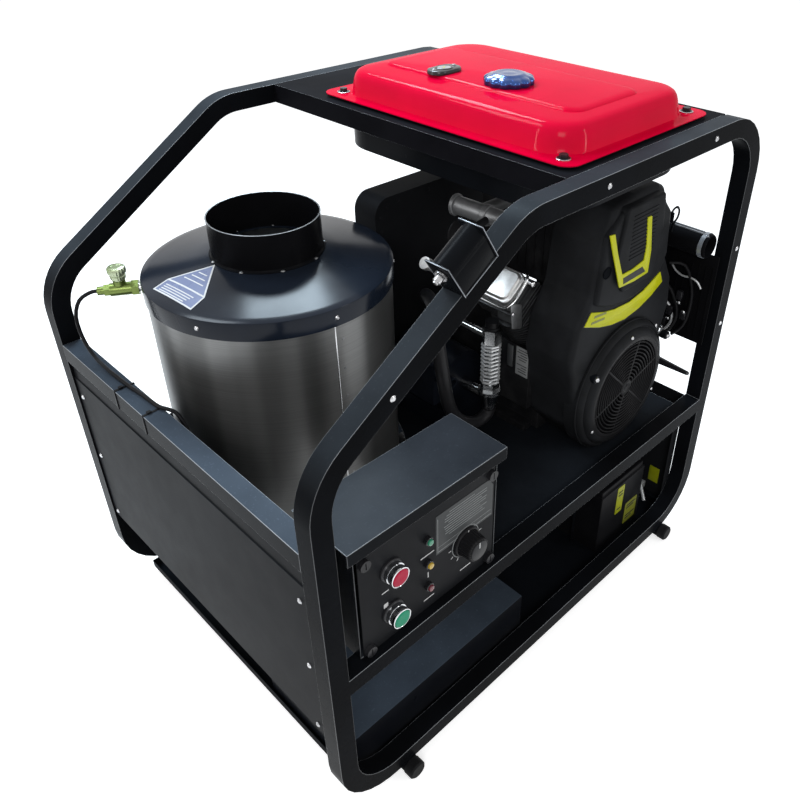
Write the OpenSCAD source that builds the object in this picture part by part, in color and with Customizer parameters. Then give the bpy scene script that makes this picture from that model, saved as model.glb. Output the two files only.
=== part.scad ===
// Skid-mounted hot-water pressure washer: a petrol engine drives a plunger pump by belt,
// and a burner heats the water in an upright coil boiler. All sizes are in millimetres.
// Heights inside the modules are measured from the underside of the bottom rails.

/* [Frame] */
// Length of the side frames
frame_l = 1120; // [1100:1:1180]
// Width over both side frames
frame_w = 824; // [816:1:880]
// Height of the side frames
frame_h = 1030; // [1020:1:1080]
// Side of the square frame tube
tube = 36; // [34:1:38]
// Wall of the frame tube
tube_wall = 2; // [1.5:0.5:4]
// Bend radius of the tube's centre line
bend_r = 110; // [90:1:120]
// Height of the lower corner of the raked stretch
rake_low_h = 762; // [750:1:780]
// Horizontal length of the raked stretch
rake_run = 396; // [380:1:410]
// Height of the middle rail's top
mid_rail_h = 359; // [357:1:361]
// Height of the end rail's top
end_rail_h = 640; // [630:1:650]
// Diameter of the round bars under the frame
foot_bar_d = 35; // [33:1:38]
// Wall of the rubber caps on the bars
foot_wall = 1.2; // [1:0.1:2]
// Projection of the rubber caps beyond the frame
foot_out = 20; // [16:1:30]
// Distance of the bars from the front and rear ends
foot_inset = [155, 100]; // [90:1:170]

/* [Panels] */
// Sheet thickness of pans, panels and boxes
sheet = 2; // [1.5:0.5:3]
// Length of the floor pan
pan_l = 1024; // [1010:1:1030]
// Height of the floor pan's rim
pan_rim = 20; // [12:1:30]
// Height of the end panel's lower edge
panel_low_h = 202; // [190:1:215]
// Height of the end panel
panel_h = 363; // [340:1:375]
// Thickness of the deck plate
deck_t = 3; // [2:0.5:5]
// Height of the deck's top
deck_h = 342; // [338:1:345]
// Left and right edges of the deck
deck_x = [-160, 493]; // [-180:1:520]
// Left and right edges of the top platform
platform_x = [-22, 450]; // [-40:1:480]
// Depth of the top platform's folded skirt
platform_skirt = 36; // [20:1:40]

/* [Control box] */
// Distance of the control box from the frame's left end
box_inset = 74; // [70:1:80]
// Length of the control box
box_l = 314; // [300:1:320]
// Depth of the control box
box_depth = 126; // [110:1:140]
// Height of the control box's top
box_top_h = 610; // [600:1:615]
// Setback of the face plate from the front of the frame
face_setback = 16; // [12:1:20]
// Height of the front lip under the box's top
lip_h = 25; // [18:1:28]
// Outer diameter of the button bezels
bezel_d = 38; // [34:1:42]
// Projection of the bezels
bezel_out = 24; // [20:1:28]
// Travel of the buttons
button_travel = 4; // [2:0.5:5]
// Diameter of the control knob
knob_d = 58; // [50:1:64]
// Height of the control knob
knob_h = 33; // [26:1:36]

/* [Boiler] */
// Distance of the boiler's axis from the middle of the frame, along and across
boiler_pos = [-239, 125]; // [-245:1:135]
// Outer radius of the barrel
barrel_r = 226; // [216:1:228]
// Height of the barrel's top
barrel_top_h = 790; // [780:1:800]
// Height of the barrel's foot
barrel_low_h = 150; // [140:1:160]
// Height of the lid's band
lid_band = 34; // [28:1:40]
// Rise of the lid's cone
lid_rise = 26; // [18:1:36]
// Outer radius of the flue collar
flue_r = 101.5; // [90:0.5:105]
// Length of the flue collar
flue_l = 70; // [50:1:80]
// Number of turns of the heating coil
coil_turns = 9; // [6:1:10]

/* [Tank] */
// Length and width of the fuel tank's flange
flange_size = [421, 610]; // [400:1:620]
// Height of the tank's shoulder above the flange
tank_rise = 44; // [36:1:50]
// Depth of the tank's lower half
tank_drop = 92; // [60:1:94]
// Diameter of the fuel cap
cap_d = 91; // [80:1:96]
// Height of the fuel cap
cap_h = 20; // [16:1:24]

/* [Engine] */
// Distance of the crankshaft from the middle of the frame
crank_x = 300; // [298:1:304]
// Height of the crankshaft
crank_h = 472; // [470:1:480]
// Angle of each cylinder from the upright
v_angle = 38; // [34:1:40]
// Half width of the cooling shroud
shroud_half_w = 178; // [168:1:182]
// Height of the shroud's top
shroud_top_h = 905; // [895:1:910]
// Radius of the fan opening
fan_open_r = 113; // [100:1:116]
// Pitch radius of the engine pulley
drive_pulley_r = 40; // [36:1:44]

/* [Pump] */
// Distance of the pump shaft from the middle of the frame
pump_x = 92; // [90:1:96]
// Pitch radius of the pump pulley
pump_pulley_r = 64; // [58:1:66]
// Number of curls of the pressure spring
spring_curls = 9; // [6:1:11]
// Wire diameter of the pressure spring
spring_wire = 5; // [4:0.5:6]
// Free radius of the spring to the middle of its wire
spring_r = 19; // [17:0.5:21]

/* [Hidden] */
$fn = 48;

foot_cap_r = foot_bar_d / 2 + foot_wall;
foot_flat = 0.5;
bar_z = foot_cap_r - foot_flat;
rail_z = bar_z + foot_bar_d / 2;
half_l = frame_l / 2;
half_w = frame_w / 2;
inner_y = half_w - tube;
inner_x = half_l - tube;
fit = 0.05;
seat_gap = 0.3;
bar_x = [-half_l + foot_inset[0], half_l - foot_inset[1]];
box_x = [-half_l + box_inset, -half_l + box_inset + box_l];

// Raises a piece from the rails' underside to its place above the ground.
module lift() { translate([0, 0, rail_z]) children(); }

// Extrudes an outline drawn in X and Z along Y.
module along_y(y0, y1) { translate([0, y1, 0]) rotate([90, 0, 0]) linear_extrude(y1 - y0) children(); }

// Extrudes an outline drawn in Y and Z along X.
module along_x(x0, x1) { translate([x0, 0, 0]) rotate([90, 0, 90]) linear_extrude(x1 - x0) children(); }

module rod_y(x, z, y0, y1, r) { translate([x, y0, z]) rotate([-90, 0, 0]) cylinder(r = r, h = y1 - y0); }

module rod_x(y, z, x0, x1, r) { translate([x0, y, z]) rotate([0, 90, 0]) cylinder(r = r, h = x1 - x0); }

module block(lo, hi) { translate(lo) cube(hi - lo); }

// Rectangle with round corners between two points.
module rounded(lo, hi, r) {
    translate([lo[0] + r, lo[1]]) square([hi[0] - lo[0] - 2 * r, hi[1] - lo[1]]);
    translate([lo[0], lo[1] + r]) square([hi[0] - lo[0], hi[1] - lo[1] - 2 * r]);
    for (x = [lo[0] + r, hi[0] - r]) for (y = [lo[1] + r, hi[1] - r]) translate([x, y]) circle(r);
}

module hex_bar(across, h) { cylinder(d = across / cos(30), h = h, $fn = 6); }

function unit(v) = v / norm(v);
function around(c, r, a) = c + r * [cos(a), sin(a)];
function turn_angle(a) = a > 180 ? a - 360 : (a < -180 ? a + 360 : a);

// Closed loop through corner points with round bends, moved outwards by off.
function bent_loop(pts, r, off, steps) = [for (i = [0 : len(pts) - 1])
    let (p = pts[i], a = unit(pts[(i + len(pts) - 1) % len(pts)] - p), b = unit(pts[(i + 1) % len(pts)] - p),
        half = acos(a * b) / 2, c = p + unit(a + b) * r / sin(half), run = r / tan(half),
        va = p + a * run - c, vb = p + b * run - c, start = atan2(va[1], va[0]),
        sweep = turn_angle(atan2(vb[1], vb[0]) - start))
    for (k = [0 : steps]) around(c, r + off, start + sweep * k / steps)];

// Side vectors of a round tube's rings, for a sweep along a route.
function ring_frame(t, old) = unit(old - t * (old * t));
function carried(route, i, u) = i == 0 ? u : ring_frame(heading(route, i), carried(route, i - 1, u));
function heading(route, i) = unit(route[min(i + 1, len(route) - 1)] - route[max(i - 1, 0)]);
function side_of(t) = unit(cross(t, abs(t[2]) > 0.7 ? [0, 1, 0] : [0, 0, 1]));

// One tube swept along a route, closed at both ends.
module sweep_tube(route, r, sides) {
    n = len(route);
    pts = [for (i = [0 : n - 1]) let (t = heading(route, i), u = carried(route, i, side_of(heading(route, 0))),
        w = cross(t, u)) for (k = [0 : sides - 1])
        route[i] + r * (u * cos(360 * k / sides) + w * sin(360 * k / sides))];
    walls = [for (i = [0 : n - 2]) for (k = [0 : sides - 1]) let (a = i * sides + k, b = i * sides + (k + 1) % sides)
        each [[a, a + sides, b], [b, a + sides, b + sides]]];
    first = [for (k = [1 : sides - 2]) [0, k, k + 1]];
    last = [for (k = [1 : sides - 2]) [(n - 1) * sides, (n - 1) * sides + k + 1, (n - 1) * sides + k]];
    polyhedron(concat(pts, []), concat(walls, first, last));
}

// Smooth route through a few chosen points.
function blend3(a, b, c, d, t) = 0.5 * (2 * b + (c - a) * t + (2 * a - 5 * b + 4 * c - d) * t * t
    + (3 * b - a - 3 * c + d) * t * t * t);
function smooth(p, steps) = concat([for (i = [0 : len(p) - 2]) for (k = [0 : steps - 1])
    blend3(p[max(i - 1, 0)], p[i], p[i + 1], p[min(i + 2, len(p) - 1)], k / steps)], [p[len(p) - 1]]);

// ---- Frame ----
rail_mid = tube / 2;
top_mid = frame_h - tube / 2;
leg_mid = half_l - tube / 2;
frame_corners = [[-leg_mid, rail_mid], [-leg_mid, rake_low_h], [-leg_mid + rake_run, top_mid],
    [leg_mid, top_mid], [leg_mid, rail_mid]];
rake_angle = atan2(top_mid - rake_low_h, rake_run);

module tube_outline(half) {
    difference() {
        polygon(bent_loop(frame_corners, bend_r, half, 8));
        polygon(bent_loop(frame_corners, bend_r, -half, 8));
    }
}

module side_frame(y0) {
    difference() {
        along_y(y0, y0 + tube) tube_outline(tube / 2);
        along_y(y0 + tube_wall, y0 + tube - tube_wall) tube_outline(tube / 2 - tube_wall);
    }
    difference() {
        block([-inner_x - fit, y0, mid_rail_h - tube], [inner_x + fit, y0 + tube, mid_rail_h]);
        block([-half_l, y0 + tube_wall, mid_rail_h - tube + tube_wall],
            [half_l, y0 + tube - tube_wall, mid_rail_h - tube_wall]);
    }
}

module side_frame_near() { color("#202124") lift() side_frame(-half_w); }

module side_frame_far() { color("#202124") lift() side_frame(inner_y); }

module end_rail() {
    color("#26282b") lift() difference() {
        block([-half_l, -inner_y, end_rail_h - tube], [-inner_x, inner_y, end_rail_h]);
        block([-half_l + tube_wall, -half_w, end_rail_h - tube + tube_wall],
            [-inner_x - tube_wall, half_w, end_rail_h - tube_wall]);
    }
}

// ---- Tank places, used by the platform too ----
flange_x = [-3, -3 + flange_size[0]];
flange_y = [-365, -365 + flange_size[1]];
flange_t = 1.5;
pad_t = 4;
flange_z = frame_h + pad_t;
bolt_in = [30, 35];
bolt_xy = [for (x = [flange_x[0] + bolt_in[0], flange_x[1] - bolt_in[0]])
    for (y = [flange_y[0] + bolt_in[1], flange_y[1] - bolt_in[1]]) [x, y]];
bolt_r = 4;
tank_wall = 1.5;
upper_in = 25;
lower_in = 16;
upper_corner = 66;
slab_t = 0.2;
washer_r = 11;
lower_corner = 95;
platform_t = 3;
neck_pos = [148, -108];
field_rise = 8;
neck_r = 30;

module lower_outline(in) {
    rounded([flange_x[0] + lower_in + in, flange_y[0] + lower_in + in],
        [flange_x[1] - lower_in - in, flange_y[1] - lower_in - in], lower_corner - in);
}

module top_platform() {
    skirt_z = frame_h - platform_skirt;
    color("#1b1c1f") lift() {
        difference() {
            block([platform_x[0], -inner_y, frame_h - platform_t], [platform_x[1], inner_y, frame_h]);
            translate([0, 0, frame_h - 2 * platform_t]) linear_extrude(3 * platform_t) lower_outline(-seat_gap * 5);
            for (p = bolt_xy) translate([p[0], p[1], frame_h - 2 * platform_t]) cylinder(r = bolt_r + 0.5, h = 20);
        }
        for (x = [platform_x[0], platform_x[1] - platform_t])
            block([x, -inner_y, skirt_z], [x + platform_t, inner_y, frame_h - platform_t]);
    }
}

// ---- Feet ----
module foot_bars() {
    color("#1d1e20") for (x = bar_x) difference() {
        rod_y(x, bar_z, -half_w - foot_out + 4, half_w + foot_out - 4, foot_bar_d / 2);
        rod_y(x, bar_z, -half_w - foot_out, half_w + foot_out, foot_bar_d / 2 - 2.5);
    }
}

module foot_caps() {
    color("#141415") for (x = bar_x) for (s = [-1, 1]) difference() {
        translate([x, s * (half_w + seat_gap), bar_z]) rotate([-s * 90, 0, 0]) union() {
            cylinder(r = foot_cap_r, h = foot_out - seat_gap - 3);
            translate([0, 0, foot_out - seat_gap - 3]) cylinder(r1 = foot_cap_r, r2 = foot_cap_r - 3, h = 3);
        }
        translate([x, s * (half_w - 1), bar_z]) rotate([-s * 90, 0, 0])
            cylinder(r = foot_bar_d / 2 + 2 * fit, h = foot_out - 3);
        block([x - tube, -half_w - tube, -tube], [x + tube, half_w + tube, 0]);
    }
}

// ---- Sheet metal ----
pan_in = 6;

module floor_pan() {
    rim_y = inner_y - pan_in;
    color("#17181a") lift() difference() {
        block([-pan_l / 2, -rim_y, 0], [pan_l / 2, rim_y, pan_rim]);
        block([-pan_l / 2 + sheet, -rim_y + sheet, sheet], [pan_l / 2 - sheet, rim_y - sheet, pan_rim + 1]);
    }
}

panel_x = -half_l + 4;
panel_fold = 26;

lower_panel_h = [pan_rim + 2, mid_rail_h - 4];
strap_room = 4;

// The raked end's panel under the end rail, and the engine end's panel that closes the lower bay.
module end_panel() {
    side = inner_y - seat_gap;
    color("#2e3034") lift() {
        block([inner_x - sheet, -side, lower_panel_h[0]], [inner_x, side, lower_panel_h[1]]);
        for (s = [-1, 1]) translate([inner_x - panel_fold, s > 0 ? side - sheet : -side, lower_panel_h[0]])
            cube([panel_fold, sheet, lower_panel_h[1] - lower_panel_h[0]]);
        block([panel_x, -inner_y, panel_low_h], [panel_x + sheet, inner_y, panel_low_h + panel_h]);
        for (s = [-1, 1]) translate([panel_x + sheet, s > 0 ? inner_y - sheet : -inner_y, panel_low_h])
            cube([panel_fold, sheet, panel_h]);
        block([panel_x + sheet, -inner_y, panel_low_h + panel_h - 20],
            [panel_x + 2 * sheet, inner_y, end_rail_h - tube - strap_room]);
    }
}

module dome_head(r, h) {
    cylinder(r = r, h = h * 0.4);
    translate([0, 0, h * 0.4]) cylinder(r1 = r, r2 = r * 0.55, h = h * 0.6);
}

screw_r = 5;
screw_h = 3;
panel_screw_in = [18, 175, 325];
leg_screw_h = [560, 740];
strap_bolt_t = 0.33;

module sheet_screws() {
    color("#8d9096") lift() {
        for (s = [-1, 1]) for (h = panel_screw_in) translate([panel_x, s * (inner_y - 20), panel_low_h + h])
            rotate([0, -90, 0]) dome_head(screw_r, screw_h);
        for (s = [-1, 1]) {
            for (h = leg_screw_h) translate([half_l - tube / 2, s * half_w, h]) rotate([-s * 90, 0, 0])
                dome_head(screw_r, screw_h);
            for (x = [platform_x[0] + 60, platform_x[1] - 90]) translate([x, s * half_w, top_mid])
                rotate([-s * 90, 0, 0]) dome_head(screw_r, screw_h);
            translate([-leg_mid + rake_run * strap_bolt_t, s * half_w,
                rake_low_h + (top_mid - rake_low_h) * strap_bolt_t]) rotate([-s * 90, 0, 0])
                dome_head(screw_r, screw_h);
        }
        at_boiler() for (a = [lid_screw_turn : lid_screw_step : 359 + lid_screw_turn]) rotate([0, 0, a])
            translate([lid_r, 0, lid_z - lid_band / 2]) rotate([0, 90, 0]) dome_head(4.5, screw_h);
    }
}

deck_gap = 14;
deck_fold = 26;

module deck_plate() {
    low = deck_h - deck_t;
    color("#1c1e21") lift() difference() {
        union() {
            block([deck_x[0], -inner_y, low], [deck_x[1], inner_y, deck_h]);
            for (s = [-1, 1]) block([deck_x[0], s > 0 ? inner_y - deck_t : -inner_y, low - deck_fold],
                [deck_x[1], s > 0 ? inner_y : -inner_y + deck_t, low]);
            block([deck_x[1] - deck_t, -inner_y, low - deck_fold], [deck_x[1], inner_y, low]);
        }
        translate([boiler_pos[0], boiler_pos[1], 0]) cylinder(r = barrel_r + deck_gap, h = frame_h);
    }
}

// ---- Control box ----
face_y = -half_w + face_setback;
box_low = mid_rail_h;
box_back = face_y + box_depth;
top_over = 14;
lip_out = 6;
face_low = box_low + 2;
face_top = box_top_h - 32;

module control_box() {
    color("#1a1c1f") lift() {
        difference() {
            block([box_x[0], face_y + sheet, box_low], [box_x[1], box_back, box_top_h - sheet]);
            block([box_x[0] + sheet, face_y - 1, box_low + sheet],
                [box_x[1] - sheet, box_back - sheet, box_top_h + 1]);
        }
        block([box_x[0] - top_over, face_y - lip_out, box_top_h - sheet], [box_x[1] + top_over, box_back, box_top_h]);
        block([box_x[0] - top_over, face_y - lip_out, box_top_h - lip_h],
            [box_x[1] + top_over, face_y - lip_out + sheet, box_top_h - sheet]);
    }
}

spindle_r = 4;
spindle_l = 16;
knob_at = [-250, 96];
button_x = -417;
button_up = [156, 61];
lamp_x = -340;
lamp_up = [164, 111, 58];

module face_plate() {
    color("#303236") lift() {
        block([box_x[0] + 6, face_y, face_low], [box_x[1] - 8, face_y + sheet, face_top]);
        rod_y(knob_at[0], box_low + knob_at[1], face_y - spindle_l, face_y, spindle_r);
    }
}

fastener_r = 10;
fastener_h = 8;

module face_fasteners() {
    color("#3d3f43") lift() for (x = [box_x[0] + 17, box_x[1] - 19]) for (z = [face_low + fastener_r, face_top - 11])
        translate([x, face_y, z]) rotate([90, 0, 0]) difference() {
            cylinder(r = fastener_r, h = fastener_h);
            translate([-1, -fastener_r * 0.7, fastener_h - 2]) cube([2, fastener_r * 1.4, 3]);
        }
}

bezel_wall = 3;
button_r = bezel_d / 2 - bezel_wall - seat_gap;
button_l = 14;

module button_bezels() {
    color("#b9bcc0") lift() for (up = button_up) translate([button_x, face_y, box_low + up]) rotate([90, 0, 0])
        difference() {
            cylinder(r = bezel_d / 2, h = bezel_out);
            translate([0, 0, 2]) cylinder(r = bezel_d / 2 - bezel_wall, h = bezel_out);
        }
}

module push_button(up) {
    front = face_y - bezel_out - 1;
    rod_y(button_x, box_low + up, front, front + button_l, button_r);
}

module red_button() { color("#c4162f") lift() push_button(button_up[0]); }

module green_button() { color("#169a5f") lift() push_button(button_up[1]); }

lamp_r = 8;

module indicator_lamps() {
    color("#3b4a3c") lift() for (up = lamp_up) translate([lamp_x, face_y, box_low + up]) rotate([90, 0, 0]) {
        cylinder(r = lamp_r, h = 8);
        translate([0, 0, 8]) cylinder(r1 = lamp_r - 2, r2 = lamp_r - 4, h = 5);
    }
}

module control_knob() {
    color("#131416") lift() translate([knob_at[0], face_y - seat_gap, box_low + knob_at[1]]) rotate([90, 0, 0])
        difference() {
            union() {
                cylinder(r = knob_d / 2, h = 7);
                translate([0, 0, 7]) cylinder(r1 = knob_d / 2 - 3, r2 = knob_d / 2 - 6, h = knob_h - 7);
            }
            translate([0, 0, -1]) cylinder(r = spindle_r + fit, h = spindle_l + 1.5);
            translate([-1, knob_d / 2 - 16, knob_h - 1.5]) cube([2, 12, 3]);
        }
}

// ---- Lower bay ----
fuel_box_x = [-505, -40];
fuel_box_y = [-inner_y + pan_in + sheet + seat_gap, -110];
fuel_box_h = 115;
fuel_neck_r = 22;
fuel_neck_at = [-199, -262];
fuel_neck_l = 14;

module burner_tank() {
    color("#25272a") lift() difference() {
        union() {
            block([fuel_box_x[0], fuel_box_y[0], sheet], [fuel_box_x[1], fuel_box_y[1], fuel_box_h]);
            translate([fuel_neck_at[0], fuel_neck_at[1], fuel_box_h]) cylinder(r = fuel_neck_r, h = fuel_neck_l);
        }
        block([fuel_box_x[0] + sheet, fuel_box_y[0] + sheet, 2 * sheet],
            [fuel_box_x[1] - sheet, fuel_box_y[1] - sheet, fuel_box_h - sheet]);
        translate([fuel_neck_at[0], fuel_neck_at[1], fuel_box_h - 5]) cylinder(r = fuel_neck_r - 3, h = 40);
    }
}

module burner_tank_cap() {
    color("#101112") lift() translate([fuel_neck_at[0], fuel_neck_at[1], fuel_box_h + 2]) difference() {
        cylinder(r = fuel_neck_r + 4, h = 20);
        translate([0, 0, -1]) cylinder(r = fuel_neck_r + fit, h = fuel_neck_l - 2 + seat_gap + 1);
    }
}

battery_lo = [262, -350];
battery_size = [175, 130, 188];

module battery() {
    top = sheet + battery_size[2];
    color("#a8b81c") lift() {
        block([battery_lo[0], battery_lo[1], sheet],
            [battery_lo[0] + battery_size[0], battery_lo[1] + battery_size[1], top - 14]);
        block([battery_lo[0] + 4, battery_lo[1] + 4, top - 14],
            [battery_lo[0] + battery_size[0] - 4, battery_lo[1] + battery_size[1] - 4, top]);
        for (x = [25, battery_size[0] - 25]) translate([battery_lo[0] + x, battery_lo[1] + 25, top])
            cylinder(r = 8, h = 14);
    }
}

module battery_clamp() {
    top = sheet + battery_size[2];
    mid = battery_lo[1] + battery_size[1] / 2;
    color("#8b8e92") lift() {
        block([battery_lo[0] - 16, mid - 10, top], [battery_lo[0] + battery_size[0] + 16, mid + 10, top + 4]);
        for (x = [battery_lo[0] - 10, battery_lo[0] + battery_size[0] + 10]) translate([x, mid, sheet]) {
            cylinder(r = 4, h = top - sheet);
            translate([0, 0, top - sheet + 4]) hex_bar(13, 7);
        }
    }
}

// ---- Fuel tank ----
module slab(in_x, in_y, z, r) {
    translate([0, 0, z]) linear_extrude(slab_t) rounded([flange_x[0] + in_x, flange_y[0] + in_y],
        [flange_x[1] - in_x, flange_y[1] - in_y], r);
}

module upper_body(in) {
    top = flange_z + 2 * flange_t + tank_rise - in;
    hull() {
        slab(upper_in + in, upper_in + in, flange_z + flange_t, upper_corner - in, $fn = 32);
        slab(upper_in + 3 + in, upper_in + 3 + in, top - 16, upper_corner - 3 - in, $fn = 32);
        slab(upper_in + 18 + in, upper_in + 18 + in, top, upper_corner - 18 - in, $fn = 32);
    }
    hull() {
        slab(upper_in + 40 + in, upper_in + 60 + in, top - 1, 40 - in, $fn = 32);
        slab(upper_in + 62 + in, upper_in + 90 + in, top + field_rise, 30 - in, $fn = 32);
    }
}

field_top = flange_z + 2 * flange_t + tank_rise + field_rise + slab_t;
neck_l = 8;

module tank_upper() {
    color("#c8102e") lift() difference() {
        union() {
            translate([0, 0, flange_z + flange_t]) linear_extrude(flange_t)
                rounded([flange_x[0], flange_y[0]], [flange_x[1], flange_y[1]], 28);
            upper_body(0);
            translate([neck_pos[0], neck_pos[1], field_top - 4]) cylinder(r = neck_r, h = neck_l + 4);
        }
        upper_body(tank_wall);
        translate([0, 0, flange_z]) linear_extrude(flange_t + 0.6)
            rounded([flange_x[0] + upper_in + tank_wall, flange_y[0] + upper_in + tank_wall],
                [flange_x[1] - upper_in - tank_wall, flange_y[1] - upper_in - tank_wall], upper_corner - tank_wall);
        translate([neck_pos[0], neck_pos[1], field_top - 20]) cylinder(r = neck_r - 3, h = 60);
        for (p = bolt_xy) translate([p[0], p[1], flange_z]) cylinder(r = bolt_r + 0.5, h = 20);
    }
}

module tank_lower() {
    bottom = flange_z - tank_drop;
    color("#151617") lift() difference() {
        union() {
            translate([0, 0, flange_z]) linear_extrude(flange_t)
                rounded([flange_x[0], flange_y[0]], [flange_x[1], flange_y[1]], 28);
            translate([0, 0, bottom]) linear_extrude(tank_drop) lower_outline(0);
        }
        translate([0, 0, bottom + tank_wall]) linear_extrude(tank_drop + 5) lower_outline(tank_wall);
        for (p = bolt_xy) translate([p[0], p[1], flange_z - 5]) cylinder(r = bolt_r + 0.5, h = 20);
    }
}

module tank_bolts() {
    top = flange_z + 2 * flange_t;
    color("#232428") lift() for (p = bolt_xy) translate([p[0], p[1], 0]) {
        translate([0, 0, frame_h]) difference() {
            cylinder(r = washer_r, h = pad_t);
            translate([0, 0, -1]) cylinder(r = bolt_r + 0.5, h = pad_t + 2);
        }
        translate([0, 0, frame_h - platform_t - 14]) cylinder(r = bolt_r, h = top - frame_h + platform_t + 14);
        translate([0, 0, top]) cylinder(r = washer_r, h = 2);
        translate([0, 0, top + 2]) hex_bar(13, 6);
        translate([0, 0, frame_h - platform_t - 7]) hex_bar(13, 7);
    }
}

module fuel_cap() {
    color("#2b4d8c") lift() translate([neck_pos[0], neck_pos[1], field_top + seat_gap]) difference() {
        union() {
            cylinder(r = cap_d / 2, h = cap_h - 4);
            translate([0, 0, cap_h - 4]) cylinder(r1 = cap_d / 2 - 1, r2 = cap_d / 2 - 8, h = 4);
        }
        translate([0, 0, -1]) cylinder(r = neck_r + fit, h = neck_l + 1);
        for (a = [0 : 30 : 359]) rotate(a) translate([cap_d / 2 + 4, 0, -1]) cylinder(r = 7, h = cap_h + 2);
    }
}

gauge_at = [126, 32];
gauge_half = [36, 22];

module fuel_gauge() {
    lo = gauge_at - gauge_half;
    color("#141516") lift() translate([0, 0, field_top]) {
        linear_extrude(7) rounded(lo, gauge_at + gauge_half, gauge_half[1] - 0.1);
        translate([gauge_at[0], gauge_at[1], 7]) cylinder(r = 15, h = 2);
        for (s = [-1, 1]) translate([gauge_at[0] + s * 26, gauge_at[1], 7]) dome_head(4, 2.5);
    }
}

// ---- Boiler ----
lid_r = barrel_r + 3.5;
lid_z = barrel_top_h + 4.6;
flue_z = lid_z + lid_rise;
skin = 1.5;
tee_angle = 148;
tee_h = 768;
pipe_r = 8;

module at_boiler() { translate([boiler_pos[0], boiler_pos[1], 0]) children(); }

module toward_tee(r0) { at_boiler() rotate([0, 0, tee_angle]) translate([r0, 0, tee_h]) rotate([0, 90, 0]) children(); }

module boiler_barrel() {
    color("#a9adb2") lift() difference() {
        at_boiler() rotate_extrude($fn = 96) translate([barrel_r - skin, barrel_low_h])
            square([skin, barrel_top_h - barrel_low_h]);
        toward_tee(barrel_r - 20) cylinder(r = pipe_r + 1, h = 40);
    }
}

module boiler_lid() {
    color("#1a1b1d") lift() difference() {
        at_boiler() rotate_extrude($fn = 96) polygon([[lid_r, lid_z - lid_band], [lid_r, lid_z],
            [flue_r + 4, flue_z], [flue_r - 6, flue_z], [flue_r - 6, flue_z - skin], [flue_r + 3, flue_z - skin],
            [barrel_r - 4, barrel_top_h + 4.6 - skin], [barrel_r - 4, barrel_top_h], [barrel_r + 1.5, barrel_top_h],
            [lid_r - skin, barrel_top_h - 1], [lid_r - skin, lid_z - lid_band]]);
        toward_tee(barrel_r - 5) cylinder(r = pipe_r + 1, h = 20);
    }
}

module flue_collar() {
    color("#1d1e20") lift() at_boiler() rotate_extrude($fn = 96) polygon([[flue_r - skin, flue_z],
        [flue_r + 4, flue_z], [flue_r + 4, flue_z + 2], [flue_r, flue_z + 2], [flue_r, flue_z + flue_l],
        [flue_r - skin, flue_z + flue_l]]);
}

lid_screw_step = 60;
lid_screw_turn = 24;

coil_r = 185;
coil_top_h = tee_h - 42;
coil_pipe_r = 15;
coil_seat = coil_pipe_r - 0.4;
coil_low_h = 210;
coil_pitch = (coil_top_h - coil_low_h) / coil_turns;

// The heating coil climbs at an even pitch, 18 rings to a turn.
coil_route = [for (i = [0 : 18 * coil_turns]) [coil_r * cos(20 * i + tee_angle), coil_r * sin(20 * i + tee_angle),
    coil_low_h + coil_pitch * i / 18]];
echo(coil_gap = coil_pitch * cos(atan2(coil_pitch, 2 * PI * coil_r)) - 2 * coil_pipe_r);

module heating_coil() { color("#6d7278") lift() at_boiler() sweep_tube(coil_route, coil_pipe_r, 6); }

base_wall = 42;
burner_h = 98;
blast_r = 48;

module boiler_base() {
    color("#3a3b3d") lift() difference() {
        at_boiler() rotate_extrude($fn = 96) polygon([[0, sheet], [barrel_r - 4, sheet], [barrel_r - 4, barrel_low_h - 3],
            [barrel_r, barrel_low_h - 3], [barrel_r, barrel_low_h], [barrel_r - base_wall, barrel_low_h],
            [barrel_r - base_wall, 30], [0, 30]]);
        rod_x(boiler_pos[1], burner_h, boiler_pos[0] + barrel_r / 2, boiler_pos[0] + 2 * barrel_r, blast_r + seat_gap);
    }
}

// ---- Burner ----
scroll_x = boiler_pos[0] + barrel_r + 94;
scroll_r = 84;
scroll_y = [boiler_pos[1] - 35, boiler_pos[1] + 35];
wheel_r = 66;
shaft_r = 6;

module burner_housing() {
    color("#4a1c1c") lift() difference() {
        union() {
            rod_y(scroll_x, burner_h, scroll_y[0], scroll_y[1], scroll_r);
            rod_x(boiler_pos[1], burner_h, scroll_x - 160, scroll_x, blast_r - 16);
            rod_x(boiler_pos[1], burner_h, scroll_x - 150, scroll_x - scroll_r + 10, blast_r);
            block([scroll_x - 40, scroll_y[0] + 10, sheet], [scroll_x + 40, scroll_y[1] - 10, burner_h - 60]);
        }
        rod_y(scroll_x, burner_h, scroll_y[0] + 3, scroll_y[1] - 3, scroll_r - 6);
        rod_y(scroll_x, burner_h, scroll_y[0] - 1, scroll_y[1], shaft_r + 6);
        rod_y(scroll_x, burner_h, scroll_y[1] - 10, scroll_y[1] + 5, 42);
        rod_x(boiler_pos[1], burner_h, scroll_x - 170, scroll_x, blast_r - 20);
    }
}

module burner_wheel() {
    y0 = scroll_y[0] + 8;
    color("#8f9398") lift() {
        rod_y(scroll_x, burner_h, scroll_y[0] - 40, y0 + 20, shaft_r);
        difference() {
            union() {
                rod_y(scroll_x, burner_h, y0, y0 + 3, wheel_r);
                rod_y(scroll_x, burner_h, y0, y0 + 22, 16);
                rod_y(scroll_x, burner_h, y0 + 46, y0 + 50, wheel_r);
                for (a = [0 : 15 : 359]) translate([scroll_x, y0, burner_h]) rotate([0, a, 0])
                    translate([wheel_r - 14, 2, -1]) cube([13, 46, 2]);
            }
            rod_y(scroll_x, burner_h, y0 + 40, y0 + 60, wheel_r - 16);
        }
    }
}

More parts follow.
